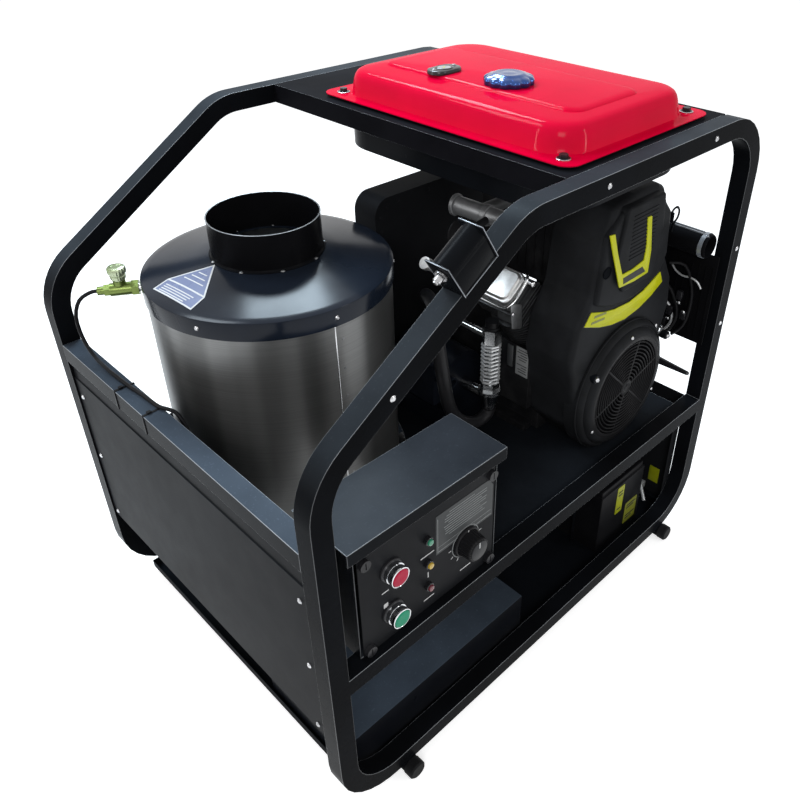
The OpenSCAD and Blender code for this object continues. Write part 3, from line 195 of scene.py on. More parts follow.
def paint_film():
    """Sprayed paint: tone drift, orange peel, smudges, and a pale film on faces that look up: painted sky
    reflection with a little real dust, faded out below a given height as painted shade.
    """
    group, given, result = new_group("paint_film", ("Dust", "Low"))
    group.interface.new_socket(name="Film", in_out="INPUT",
                               socket_type="NodeSocketColor").default_value = FILM
    where = stretched(group, (1, 1, 1))
    drift = noise_node(group, where, 3.5, 4.0, 0.6)
    smudge = noise_node(group, where, 21.0, 6.0, 0.62)
    speck = noise_node(group, where, 190.0, 2.0, 0.7)
    peel = noise_node(group, where, given.outputs["Scale"], 1.5, 0.4)
    tone = own_tones(group, given, ramp_node(group, drift, 0.32, 0.7))
    cloud = plus(group, times(group, ramp_node(group, drift, 0.25, 0.75), 0.5), 0.5)
    # Below the given height the film fades out: painted shade on the lower parts.
    above = times(group, minus(group, height_of(group, where), given.outputs["Low"]), 4.0)
    high = plus(group, above, 1.0, True)
    # The film's mask: painted sky reflection on upward faces, with real dust grit mixed in.
    settled = times(group, times(group, ramp_node(group, upward(group), 0.3, 1.0), cloud), high)
    grit = plus(group, times(group, ramp_node(group, speck, 0.60, 0.72), 0.25), 0.75)
    dust = times(group, times(group, settled, grit), given.outputs["Dust"], True)
    colour = blend_node(group, dust, tone, given.outputs["Film"])
    rough = plus(group, wandering_gloss(group, given, smudge, False), times(group, dust, 0.12), True)
    return close_group(group, given, result, colour, rough, peel)


def brushed_sheet():
    """Brushed stainless sheet: fine lines round the sheet, and tall bands of painted reflection, strongest
    near the top and darker towards the bottom as painted shade.
    """
    group, given, result = new_group("brushed_sheet", ("Bands",))
    place = stretched(group, (1, 1, 1))
    lines = noise_node(group, stretched(group, (3, 3, 700)), given.outputs["Scale"], 2.0, 0.7)
    bands = noise_node(group, stretched(group, (8.5, 8.5, 0.0)), 1.0, 2.0, 0.45)
    prints = noise_node(group, place, 14.0, 6.0, 0.6)
    # Painted shade: the reflection bands fade towards the bottom.
    lit = plus(group, times(group, ramp_node(group, height_of(group, place), 0.30, 0.62), 0.75), 0.25)
    mask = times(group, times(group, ramp_node(group, bands, 0.42, 0.56), given.outputs["Bands"]), lit)
    hair = times(group, ramp_node(group, lines, 0.35, 0.75), 0.22)
    colour = blend_node(group, hair, own_tones(group, given, mask), HAIRLINE)
    return close_group(group, given, result, colour, wandering_gloss(group, given, prints), lines)


def cast_skin():
    """Cast or blasted metal: pitted grain, dark oil stain in patches."""
    group, given, result = new_group("cast_skin")
    where = stretched(group, (1, 1, 1))
    grain = noise_node(group, where, given.outputs["Scale"], 4.0, 0.7)
    stain = noise_node(group, where, 17.0, 6.0, 0.65)
    tone = own_tones(group, given, ramp_node(group, stain, 0.4, 0.68))
    return close_group(group, given, result, tone, wandering_gloss(group, given, stain), grain)


def moulded_skin():
    """Moulded plastic or rubber: fine pebble grain, faint bloom and rubbed patches."""
    group, given, result = new_group("moulded_skin")
    where = stretched(group, (1, 1, 1))
    pebble = group.nodes.new("ShaderNodeTexVoronoi")
    group.links.new(where, pebble.inputs["Vector"])
    group.links.new(given.outputs["Scale"], pebble.inputs["Scale"])
    bloom = noise_node(group, where, 9.0, 5.0, 0.6)
    tone = own_tones(group, given, ramp_node(group, bloom, 0.35, 0.7))
    return close_group(group, given, result, tone, wandering_gloss(group, given, bloom),
                       pebble.outputs["Distance"])


PAINT = paint_film()
BRUSHED = brushed_sheet()
CAST = cast_skin()
MOULDED = moulded_skin()


def finish(name, skin, tint, shade, gloss, wander=0.12, scale=260.0, relief=0.5, depth=0.1, metallic=0.0,
           specular=0.5, coat=0.0, coat_gloss=0.08, glow=0.0, **more):
    """A material from a surface group and plain shader numbers; depth is the relief in millimetres."""
    material = bpy.data.materials.new(name)
    material.use_nodes = True
    tree = material.node_tree
    shader = tree.nodes["Principled BSDF"]
    skin_node = tree.nodes.new("ShaderNodeGroup")
    skin_node.node_tree = skin
    numbers = {"Tint": (*tint, 1.0), "Shade": (*shade, 1.0), "Gloss": gloss, "Wander": wander, "Scale": scale,
               "Relief": relief, **more}
    for label, value in numbers.items():
        skin_node.inputs[label].default_value = value
    bump = tree.nodes.new("ShaderNodeBump")
    bump.inputs["Strength"].default_value = 0.6
    bump.inputs["Distance"].default_value = depth * MM
    tree.links.new(skin_node.outputs["Height"], bump.inputs["Height"])
    tree.links.new(bump.outputs["Normal"], shader.inputs["Normal"])
    tree.links.new(skin_node.outputs["Color"], shader.inputs["Base Color"])
    tree.links.new(skin_node.outputs["Roughness"], shader.inputs["Roughness"])
    for label, value in (("Metallic", metallic), ("Specular IOR Level", specular), ("Coat Weight", coat),
                         ("Coat Roughness", coat_gloss)):
        shader.inputs[label].default_value = value
    if glow:
        tree.links.new(skin_node.outputs["Color"], shader.inputs["Emission Color"])
        shader.inputs["Emission Strength"].default_value = glow
    return material


def painted(name, tint, shade, gloss, specular, dust, wander=0.16, scale=240, relief=0.5, depth=0.05, **more):
    """Sprayed paint; the number after specular sets how much pale film its upper faces carry: painted sky
    reflection with a little real dust.
    """
    return finish(name, PAINT, tint, shade, gloss, wander, scale, relief, depth, specular=specular, Dust=dust,
                  **more)


def plastic(name, tint, shade, gloss, specular, wander=0.16, scale=900, relief=0.5, depth=0.05, **more):
    """A moulded plastic or rubber."""
    return finish(name, MOULDED, tint, shade, gloss, wander, scale, relief, depth, specular=specular, **more)


def printed(name, tint, shade, gloss=0.5, specular=0.3, scale=1300):
    """Matt ink or film on a label."""
    return plastic(name, tint, shade, gloss, specular, 0.2, scale, 0.3, 0.02)


def lens(name, tint, shade, gloss=0.16, specular=0.6, coat=0.6, glow=0.0):
    """Smooth coloured plastic that light passes or sits in."""
    return plastic(name, tint, shade, gloss, specular, 0.1, 700, 0.2, 0.02, coat=coat, glow=glow)


def metal(name, tint, shade, gloss, scale, relief, depth, metallic=1.0, wander=0.2, **more):
    """Cast, plated or machined metal."""
    return finish(name, CAST, tint, shade, gloss, wander, scale, relief, depth, metallic=metallic, **more)


# Each painted finish's pale film on upward faces is painted sky reflection with a little real dust. On the
# frame tubes it is held off below 0.85 m as painted shade on the lower rails.
tube_paint = painted("tube_paint", (0.0035, 0.0038, 0.0045), (0.006, 0.0068, 0.0085), 0.27, 0.008, 0.8,
                     wander=0.12, scale=320, Low=0.85, Film=(0.062, 0.074, 0.088, 1.0))
# The end rail's bluish film is painted sky reflection on its top.
rail_paint = painted("rail_paint", (0.0035, 0.0038, 0.0045), (0.006, 0.0068, 0.0085), 0.25, 0.012, 1.0,
                     wander=0.12, scale=320, Film=(0.085, 0.110, 0.145, 1.0))
platform_paint = painted("platform_paint", (0.004, 0.004, 0.005), (0.008, 0.008, 0.010), 0.32, 0.003, 0.12,
                         scale=300, depth=0.06)
pan_paint = painted("pan_paint", (0.003, 0.0035, 0.0045), (0.005, 0.006, 0.008), 0.34, 0.004, 0.06,
                    scale=260, depth=0.06)
# The burner tank's bluish film is painted sky reflection on its top.
burner_paint = painted("burner_paint", (0.004, 0.0045, 0.006), (0.006, 0.007, 0.010), 0.30, 0.012, 1.0,
                       wander=0.14, depth=0.06, Film=(0.075, 0.098, 0.130, 1.0))
deck_paint = painted("deck_paint", (0.003, 0.0035, 0.0045), (0.006, 0.0075, 0.010), 0.28, 0.008, 0.2,
                     scale=260)
panel_paint = painted("panel_paint", (0.0085, 0.009, 0.0102), (0.0125, 0.013, 0.0145), 0.38, 0.012, 0.2,
                      wander=0.14, scale=340, relief=0.6)
box_paint = painted("box_paint", (0.0035, 0.004, 0.005), (0.006, 0.0075, 0.010), 0.24, 0.02, 0.8, depth=0.07)
# Rounded edges: the bright film on their upward faces is a painted highlight.
edge_sheen = painted("edge_sheen", (0.030, 0.033, 0.036), (0.060, 0.064, 0.070), 0.22, 0.35, 1.0,
                     wander=0.12, scale=300, relief=0.3, depth=0.03, Film=(0.42, 0.45, 0.48, 1.0))
lid_paint = painted("lid_paint", (0.005, 0.0075, 0.013), (0.009, 0.0135, 0.024), 0.17, 0.17, 0.12,
                    wander=0.10, scale=200, relief=0.4, coat_gloss=0.16)
flue_paint = painted("flue_paint", (0.003, 0.003, 0.0035), (0.006, 0.006, 0.007), 0.28, 0.015, 0.1,
                     scale=220, depth=0.06)
tank_red = painted("tank_red", (0.72, 0.0006, 0.036), (0.62, 0.0004, 0.029), 0.24, 0.002, 0.0, wander=0.06,
                   scale=170, relief=0.4, depth=0.04, coat=0.13, coat_gloss=0.035)
tank_black = painted("tank_black", (0.0035, 0.004, 0.005), (0.006, 0.007, 0.009), 0.25, 0.03, 0.1,
                     wander=0.14, scale=220)
face_paint = plastic("face_paint", (0.009, 0.0095, 0.011), (0.014, 0.0145, 0.016), 0.45, 0.04, scale=1500,
                     depth=0.03)
label_film = printed("label_film", (0.045, 0.048, 0.050), (0.065, 0.068, 0.070), gloss=0.42, specular=0.12,
                     scale=1400)
label_rule = printed("label_rule", (0.24, 0.25, 0.25), (0.15, 0.16, 0.16), specular=0.35, scale=1400)
print_white = printed("print_white", (0.62, 0.62, 0.62), (0.5, 0.5, 0.5))
lid_label = printed("lid_label", (0.16, 0.19, 0.31), (0.27, 0.30, 0.44), gloss=0.3, scale=420)
cap_blue = painted("cap_blue", (0.008, 0.050, 0.22), (0.012, 0.075, 0.30), 0.16, 0.5, 0.1, wander=0.1,
                   scale=200, relief=0.4, depth=0.04, metallic=0.75, coat=0.6, coat_gloss=0.05)
gauge_plastic = plastic("gauge_plastic", (0.010, 0.010, 0.012), (0.018, 0.018, 0.02), 0.24, 0.2,
                        wander=0.14, scale=1200, relief=0.3, depth=0.03, coat=0.3)
# The barrel's tall light bands are painted reflection, fading to painted shade low down.
stainless = finish("stainless", BRUSHED, (0.085, 0.086, 0.085), (0.20, 0.202, 0.20), 0.36, 0.03, 1.0, 0.25,
                   0.006, metallic=0.66, Bands=1.0)
relief_green = metal("relief_green", (0.42, 0.48, 0.33), (0.20, 0.26, 0.12), 0.26, 700, 0.4, 0.04,
                     metallic=0.75)
fastener_zinc = metal("fastener_zinc", (0.55, 0.55, 0.56), (0.32, 0.32, 0.33), 0.26, 900, 0.4, 0.02)
chrome = metal("chrome", (0.72, 0.73, 0.75), (0.58, 0.59, 0.61), 0.10, 700, 0.2, 0.01, wander=0.08)
bolt_black = metal("bolt_black", (0.012, 0.012, 0.014), (0.03, 0.03, 0.033), 0.34, 900, 0.4, 0.03,
                   metallic=0.0, wander=0.16, specular=0.2)
cast_alloy = metal("cast_alloy", (0.060, 0.062, 0.065), (0.030, 0.031, 0.033), 0.44, 620, 0.7, 0.14,
                   metallic=0.85)
cover_alloy = metal("cover_alloy", (0.74, 0.74, 0.73), (0.46, 0.46, 0.46), 0.36, 520, 0.6, 0.10,
                    metallic=0.9, wander=0.16)
case_black = metal("case_black", (0.010, 0.010, 0.011), (0.020, 0.020, 0.021), 0.45, 520, 0.7, 0.14,
                   metallic=0.0, specular=0.04)
duct_grey = metal("duct_grey", (0.22, 0.225, 0.23), (0.13, 0.132, 0.136), 0.40, 480, 0.6, 0.12, metallic=0.45)
steel_bright = metal("steel_bright", (0.62, 0.63, 0.64), (0.42, 0.43, 0.44), 0.22, 700, 0.4, 0.03,
                     wander=0.14)
edge_bright = metal("edge_bright", (0.26, 0.28, 0.31), (0.12, 0.13, 0.145), 0.28, 900, 0.3, 0.02,
                    metallic=0.3, wander=0.14, specular=0.5)
spring_bright = metal("spring_bright", (0.66, 0.67, 0.68), (0.50, 0.51, 0.52), 0.28, 900, 0.3, 0.02,
                      metallic=0.4, wander=0.14, specular=0.6)
label_dark = printed("label_dark", (0.020, 0.021, 0.022), (0.030, 0.031, 0.032), specular=0.2)
tag_grey = printed("tag_grey", (0.20, 0.205, 0.205), (0.27, 0.275, 0.275), gloss=0.45)
steel_dull = metal("steel_dull", (0.24, 0.245, 0.25), (0.12, 0.122, 0.126), 0.4, 600, 0.6, 0.08, metallic=0.9)
brass_green = metal("brass_green", (0.16, 0.21, 0.055), (0.08, 0.12, 0.03), 0.30, 600, 0.5, 0.05,
                    metallic=0.8)
refractory = metal("refractory", (0.30, 0.27, 0.23), (0.18, 0.16, 0.14), 0.85, 300, 0.9, 0.5, metallic=0.0)
pump_paint = metal("pump_paint", (0.008, 0.010, 0.015), (0.005, 0.006, 0.009), 0.38, 420, 0.6, 0.12,
                   metallic=0.0, specular=0.06)
shroud_grey = plastic("shroud_grey", (0.0115, 0.012, 0.013), (0.018, 0.019, 0.021), 0.47, 0.03,
                      wander=0.14, relief=0.7, depth=0.06)
grille_black = plastic("grille_black", (0.010, 0.010, 0.011), (0.017, 0.017, 0.018), 0.36, 0.06)
fan_black = plastic("fan_black", (0.010, 0.010, 0.011), (0.016, 0.016, 0.017), 0.4, 0.08)
trim_yellow = plastic("trim_yellow", (0.52, 0.53, 0.006), (0.44, 0.46, 0.005), 0.36, 0.15, relief=0.3,
                      depth=0.03)
trim_edge = plastic("trim_edge", (0.004, 0.004, 0.004), (0.008, 0.008, 0.008), 0.5, 0.3, wander=0.1,
                    relief=0.3, depth=0.03)
trim_bar = plastic("trim_bar", (0.20, 0.21, 0.02), (0.14, 0.15, 0.015), 0.4, 0.4, wander=0.1, relief=0.3,
                   depth=0.03)
knob_black = plastic("knob_black", (0.007, 0.007, 0.008), (0.013, 0.013, 0.014), 0.36, 0.1, scale=1000,
                     depth=0.04)
knob_face = plastic("knob_face", (0.022, 0.023, 0.025), (0.032, 0.033, 0.035), 0.38, 0.15, wander=0.12,
                    scale=1000, relief=0.4, depth=0.03)
rubber = plastic("rubber", (0.009, 0.009, 0.010), (0.017, 0.017, 0.018), 0.55, 0.05, wander=0.2, scale=500,
                 relief=0.6, depth=0.08)
hose_rubber = plastic("hose_rubber", (0.010, 0.010, 0.011), (0.019, 0.019, 0.021), 0.34, 0.12, wander=0.2,
                      scale=420, relief=0.6, depth=0.08)
cable_sheath = plastic("cable_sheath", (0.006, 0.006, 0.007), (0.012, 0.012, 0.013), 0.42, 0.08,
                       wander=0.2, scale=800, depth=0.04)
# The faint glow on the red and green button caps is painted light.
red_lens = lens("red_lens", (0.38, 0.004, 0.035), (0.28, 0.003, 0.025), gloss=0.32, specular=0.12,
                coat=0.08, glow=0.08)
green_lens = lens("green_lens", (0.008, 0.24, 0.13), (0.006, 0.18, 0.095), gloss=0.32, specular=0.12,
                  coat=0.08, glow=0.10)
lamp_green = lens("lamp_green", (0.02, 0.30, 0.16), (0.01, 0.16, 0.09))
lamp_yellow = lens("lamp_yellow", (0.55, 0.36, 0.02), (0.40, 0.26, 0.015))
lamp_red = lens("lamp_red", (0.16, 0.010, 0.025), (0.10, 0.006, 0.016))
battery_case = plastic("battery_case", (0.005, 0.005, 0.006), (0.009, 0.009, 0.010), 0.36, 0.03, scale=700)
battery_yellow = plastic("battery_yellow", (0.34, 0.36, 0.008), (0.16, 0.18, 0.006), 0.34, 0.2, scale=700,
                         relief=0.4, depth=0.04)
clear_rim = lens("clear_rim", (0.34, 0.35, 0.36), (0.22, 0.23, 0.24), gloss=0.12, coat=0.5)

NODE_FINISH = {
    tube_paint: ("side_frame_near", "side_frame_far", "end_rail", "foot_bars", "battery_clamp"),
    platform_paint: ("top_platform",),
    pan_paint: ("floor_pan", "burner_tank"),
    deck_paint: ("deck_plate",),
    panel_paint: ("end_panel", "guard_plate"),
    box_paint: ("control_box",),
    face_paint: ("face_plate",),
    fastener_zinc: ("sheet_screws",),
    bolt_black: ("face_fasteners", "tank_bolts", "burner_housing"),
    tank_black: ("tank_lower", "ignition_coil"),
    lid_paint: ("boiler_lid",),
    flue_paint: ("flue_collar", "muffler"),
    tank_red: ("tank_upper",),
    cap_blue: ("fuel_cap",),
    gauge_plastic: ("fuel_gauge", "burner_tank_cap"),
    stainless: ("boiler_barrel",),
    rubber: ("foot_caps", "drive_belt"),
    steel_bright: ("outlet_pipe", "crankshaft", "unloader_valve", "relief_cap", "burner_wheel"),
    spring_bright: ("unloader_spring",),
    steel_dull: ("heating_coil", "pistons", "lifting_eye", "pump_pulley"),
    brass_green: ("tee_fitting",),
    refractory: ("boiler_base",),
    duct_grey: ("burner_motor", "air_duct"),
    case_black: ("crankcase",),
    cast_alloy: ("cylinders",),
    cover_alloy: ("valve_covers",),
    shroud_grey: ("fan_shroud",),
    grille_black: ("fan_grille",),
    fan_black: ("cooling_fan", "throttle_lever"),
    pump_paint: ("pump_body",),
    knob_black: ("control_knob", "unloader_knob"),
    chrome: ("button_bezels",),
    red_lens: ("red_button",),
    green_lens: ("green_button",),
    lamp_green: ("indicator_lamps",),
    battery_case: ("battery",),
    hose_rubber: ("pump_hose",),
    cable_sheath: ("sensor_cable",),
}
for material, names in NODE_FINISH.items():
    for name in names:
        mesh = nodes[name].data
        if not mesh.materials:
            mesh.materials.append(material)
        for place in range(len(mesh.materials)):
            mesh.materials[place] = material

# ---- Shapes, in millimetres over the rails' undersides ----


def add_piece(name, shape, material, body="frame", stands_for=(), soft=35.0, ease=0.0, steps=2,
              outward=True):
    """Takes a finished shape into the scene. ease is a small round on its sharp edges."""
    bmesh.ops.remove_doubles(shape, verts=shape.verts, dist=0.005)
    if outward:
        bmesh.ops.recalc_face_normals(shape, faces=shape.faces)
    limit = math.radians(soft)
    for edge in shape.edges:
        edge.smooth = len(edge.link_faces) == 2 and edge.calc_face_angle(0.0) < limit
    for face in shape.faces:
        face.smooth = True
    shape.transform(TO_FRAME)
    mesh = bpy.data.meshes.new(name)
    shape.to_mesh(mesh)
    shape.free()
    mesh.materials.append(material)
    piece = bpy.data.objects.new(name, mesh)
    bpy.context.scene.collection.objects.link(piece)
    if ease:
        rounder = piece.modifiers.new("ease", "BEVEL")
        rounder.width = ease * MM
        rounder.segments = steps
        rounder.limit_method = "ANGLE"
        rounder.angle_limit = math.radians(40)
        rounder.harden_normals = True
    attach(piece, body)
    if stands_for:
        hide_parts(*stands_for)
    return piece


def gather(*parts):
    """One shape of several."""
    shape = bmesh.new()
    for part in parts:
        carrier = bpy.data.meshes.new("carrier")
        part.to_mesh(carrier)
        part.free()
        shape.from_mesh(carrier)
        bpy.data.meshes.remove(carrier)
    return shape


def moved(part, x=0.0, y=0.0, z=0.0, turn=0.0):
    """The part turned about the upright axis and moved."""
    part.transform(Matrix.Translation((x, y, z)) @ Matrix.Rotation(math.radians(turn), 4, "Z"))
    return part


TILT = {"Z": Matrix.Identity(4), "-Y": Matrix.Rotation(RIGHT, 4, "X"), "Y": Matrix.Rotation(-RIGHT, 4, "X"),
        "X": Matrix.Rotation(RIGHT, 4, "Y"), "-X": Matrix.Rotation(-RIGHT, 4, "Y")}


def aimed(part, centre, along):
    """The part with its own Z turned to an axis, and moved to centre."""
    part.transform(Matrix.Translation(centre) @ TILT[along])
    return part


def rod(start, end, radius, sides=24, end_radius=None):
    """Round bar from point to point."""
    shape = bmesh.new()
    start, end = Vector(start), Vector(end)
    line = end - start
    place = Matrix.Translation((start + end) / 2) @ line.to_track_quat("Z", "Y").to_matrix().to_4x4()
    bmesh.ops.create_cone(shape, cap_ends=True, segments=sides, radius1=radius,
                          radius2=radius if end_radius is None else end_radius, depth=line.length,
                          matrix=place)
    return shape


def brick(low, high, ease=0.0):
    """Box from corner to corner, its edges rounded."""
    shape = bmesh.new()
    low, high = Vector(low), Vector(high)
    size = high - low
    bmesh.ops.create_cube(shape, size=1.0,
                          matrix=Matrix.Translation((low + high) / 2) @ Matrix.Diagonal((*size, 1.0)))
    if ease:
        bmesh.ops.bevel(shape, geom=shape.edges[:], affect="EDGES", offset=ease, segments=2, profile=0.5,
                        material=-1)
    return shape


def bricks(corners, ease=0.0):
    """Several boxes, each given by its low and its high corner."""
    return gather(*[brick(low, high, ease) for low, high in corners])


def turned(profile, centre=(0, 0, 0), along="Z", steps=96, closed=False):
    """Lathe work: profile is (radius, height) pairs, from centre along an axis."""
    shape = bmesh.new()
    points = [shape.verts.new((radius, 0, height)) for radius, height in profile]
    pairs = zip(points, points[1:] + (points[:1] if closed else []))
    edges = [shape.edges.new(pair) for pair in pairs]
    bmesh.ops.spin(shape, geom=points + edges, cent=(0, 0, 0), axis=(0, 0, 1), angle=2 * math.pi,
                   steps=steps, use_merge=True)
    bmesh.ops.remove_doubles(shape, verts=shape.verts, dist=0.001)
    return aimed(shape, centre, along)


def turned_each(profile, places, along="Z", steps=96, closed=False):
    """The same lathe work at several places."""
    return gather(*[turned(profile, place, along, steps, closed) for place in places])


def around(centre, radius, angle):
    """A point on a circle as two numbers; the angle is in degrees."""
    turn = math.radians(angle)
    return centre[0] + radius * math.cos(turn), centre[1] + radius * math.sin(turn)


def cut_sheet(corners, thick, ease=0.0, steps=3, hole=None):
    """Flat plate from corners (across, up, radius), its upper edge rounded; hole is (across, up, radius)."""
    shape = bmesh.new()
    points = [shape.verts.new((across, up, 0.0)) for across, up, _ in corners]
    shape.faces.new(points)
    for point, (_, _, radius) in zip(points, corners):
        if radius:
            first, second = [edge.other_vert(point).co - point.co for edge in point.link_edges]
            reach = radius / math.tan(first.angle(second) / 2)
            bmesh.ops.bevel(shape, geom=[point], affect="VERTICES", offset=reach, segments=8, profile=0.5,
                            material=-1)
    if hole:
        bmesh.ops.delete(shape, geom=shape.faces[:], context="FACES_ONLY")
        bmesh.ops.create_circle(shape, segments=96, radius=hole[2],
                                matrix=Matrix.Translation((hole[0], hole[1], 0)))
        bmesh.ops.triangle_fill(shape, use_beauty=True, edges=shape.edges[:])
    lifted = bmesh.ops.extrude_face_region(shape, geom=shape.faces[:])["geom"]
    top = [item for item in lifted if isinstance(item, bmesh.types.BMVert)]
    bmesh.ops.translate(shape, verts=top, vec=(0, 0, thick))
    if ease:
        raised = set(top)
        rim = [edge for edge in shape.edges if edge.verts[0] in raised and edge.verts[1] in raised
               and abs(edge.calc_face_angle(0.0)) > 1.0
               and not (hole and (edge.verts[0].co.xy - Vector(hole[:2])).length < hole[2] + 0.5)]
        bmesh.ops.bevel(shape, geom=rim, affect="EDGES", offset=ease, segments=steps, profile=0.5,
                        material=-1)
    bmesh.ops.recalc_face_normals(shape, faces=shape.faces)
    return shape


def facing_near(shape, depth):
    """Turns a flat plate, drawn across and up, to stand on a face that looks along -Y at this depth."""
    return aimed(shape, (0, depth, 0), "-Y")


def upright(corners, depth, thick, ease=0.0, steps=3, hole=None):
    """A flat plate that stands on a face looking along -Y."""
    return facing_near(cut_sheet(corners, thick, ease, steps, hole), depth)


def cornered(points, radius=0):
    """Corners for a plate, all with the same radius."""
    return [(across, up, radius) for across, up in points]


def oblong(across, up, wide, high, radius=0):
    """Corners of an upright rectangle, from its lower left one."""
    return cornered([(across, up), (across + wide, up), (across + wide, up + high), (across, up + high)],
                    radius)


def on_depth(points, depth):
    """Points drawn across and up, set at a depth."""
    return [(across, depth, up) for across, up in points]


def cut_below(shape, height):
    """Cuts away what hangs below a height."""
    bmesh.ops.bisect_plane(shape, geom=shape.verts[:] + shape.edges[:] + shape.faces[:],
                           plane_co=(0, 0, height), plane_no=(0, 0, -1), clear_outer=True)


def round_loop(shape, across, along, radius, height):
    """A loop of edges round a rectangle with round corners, to be bridged."""
    known = set(shape.verts)
    corners = [shape.verts.new((x, y, height)) for x, y in ((across[0], along[0]), (across[1], along[0]),
                                                          (across[1], along[1]), (across[0], along[1]))]
    shape.faces.new(corners)
    bmesh.ops.bevel(shape, geom=corners, affect="VERTICES", offset=radius, segments=9, profile=0.5,
                    material=-1)
    fresh = [point for point in shape.verts if point not in known]
    face = fresh[0].link_faces[0]
    edges = list(face.edges)
    bmesh.ops.delete(shape, geom=[face], context="FACES_ONLY")
    return edges


def pressed(loops):
    """Pressing through rounded rectangles, each (across, along, radius, height), closed above and below."""
    shape = bmesh.new()
    rings = [round_loop(shape, *loop) for loop in loops]
    for lower, upper in zip(rings, rings[1:]):
        bmesh.ops.bridge_loops(shape, edges=lower + upper)
    for end in (rings[-1], rings[0]):
        bmesh.ops.contextual_create(shape, geom=end)
    return shape


def drawn_in(across, along, inset, radius, height, inset_along=None):
    """A rounded rectangle inside two spans: one level of a pressing."""
    if inset_along is None:
        inset_along = inset
    spans = (across[0] + inset, across[1] - inset), (along[0] + inset_along, along[1] - inset_along)
    return (*spans, radius, height)


def screw_head(centre, along, radius=5.0, high=2.6):
    """Domed cross-slot screw head with its washer face."""
    head = turned([(radius, 0), (radius, high * 0.25), (radius * 0.86, high * 0.62),
                   (radius * 0.5, high * 0.92), (0, high)], steps=24)
    long_slot = brick((-radius * 0.55, -0.5, high * 0.55), (radius * 0.55, 0.5, high * 1.02))
    cross_slot = brick((-0.5, -radius * 0.55, high * 0.55), (0.5, radius * 0.55, high * 1.02))
    return aimed(gather(head, gather(long_slot, cross_slot)), centre, along)


def screw_heads(places, along, radius=5.0, high=2.6):
    """The same screw head at several places."""
    return gather(*[screw_head(place, along, radius, high) for place in places])


def smooth_route(points, steps):
    """A finer run of points through the given ones."""
    run = []
    line = [Vector(point) for point in points]
    for place in range(len(line) - 1):
        before = line[max(place - 1, 0)]
        here, ahead = line[place], line[place + 1]
        after = line[min(place + 2, len(line) - 1)]
        for step in range(steps):
            t = step / steps
            run.append(0.5 * (2 * here + (ahead - before) * t
                              + (2 * before - 5 * here + 4 * ahead - after) * t * t
                              + (3 * here - before - 3 * ahead + after) * t ** 3))
    run.append(line[-1])
    return run


def add_tube(name, points, radius, material, body="frame", stands_for=(), steps=3, sides=5):
    """A bent tube, cable or rod along a smooth line."""
    data = bpy.data.curves.new(name, "CURVE")
    data.dimensions = "3D"
    data.bevel_depth = radius * MM
    data.bevel_resolution = sides
    data.use_fill_caps = True
    run = [TO_FRAME @ point for point in smooth_route(points, steps)]
    line = data.splines.new("POLY")
    line.points.add(len(run) - 1)
    for point, where in zip(line.points, run):
        point.co = (*where, 1.0)
    line.use_smooth = True
    data.materials.append(material)
    piece = bpy.data.objects.new(name, data)
    bpy.context.scene.collection.objects.link(piece)
    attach(piece, body)
    if stands_for:
        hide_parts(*stands_for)
    return piece, run


def eased_copy(node, ease, material, steps=3, edge=None):
    """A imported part's own shape again, merged, flat faces made whole, and its sharp edges rounded."""
    shape = bmesh.new()
    shape.from_mesh(nodes[node].data)
    shape.transform(TO_FRAME.inverted())
    bmesh.ops.remove_doubles(shape, verts=shape.verts, dist=0.01)
    bmesh.ops.dissolve_limit(shape, angle_limit=math.radians(0.6), verts=shape.verts[:], edges=shape.edges[:])
    piece = add_piece(node + "_eased", shape, material, stands_for=(node,), ease=ease, steps=steps,
                      outward=False)
    # The edge finish, where given, paints a highlight along the rounded edges.
    if edge:
        piece.data.materials.append(edge)
        piece.modifiers["ease"].material = 1
    return piece


# ---- Cords ----
CABLE_R = 3.5
CABLE_LINE = [(-499, 288, 768), (-511, 296, 766), (-530, 304, 754), (-543, 304, 726), (-546, 292, 690),
              (-544, 270, 662), (-541, 235, 649), (-538, 190, 645), (-536, 150, 644.5), (-533, 122, 644.5),
              (-531, 90, 644.5), (-529, 61, 644.5), (-522, 42, 645), (-515, 28, 640), (-512, 12, 622),
              (-510, -10, 590), (-509, -50, 562), (-506, -110, 546), (-496, -170, 540), (-480, -215, 540),
              (-470, -245, 540), (-470, -269.7, 540)]
HOSE_R = 14.0
HOSE_LINE = [(91, -140, 427.7), (91, -140, 424), (91, -140, 419), (85, -140, 410), (70, -140, 404.5),
             (52, -140, 405), (35, -141, 411), (5, -142, 432), (-20, -142, 462), (-36, -142, 500),
             (-45, -141, 545), (-50, -138, 590), (-50, -130, 630), (-40, -114, 660), (-18, -88, 676),
             (8, -52, 678), (34, -14, 668), (58, 18, 650), (76, 32, 628), (85, 24, 609), (85, 0, 604),
             (85, -20, 603.8), (85, -41.7, 603.8)]

sensor_cable, cable_run = add_tube("sensor_cable_run", CABLE_LINE, CABLE_R, cable_sheath,
                                   stands_for=("sensor_cable",))
bypass_hose, hose_run = add_tube("bypass_hose_run", HOSE_LINE, HOSE_R, hose_rubber,
                                 stands_for=("pump_hose",), sides=9)

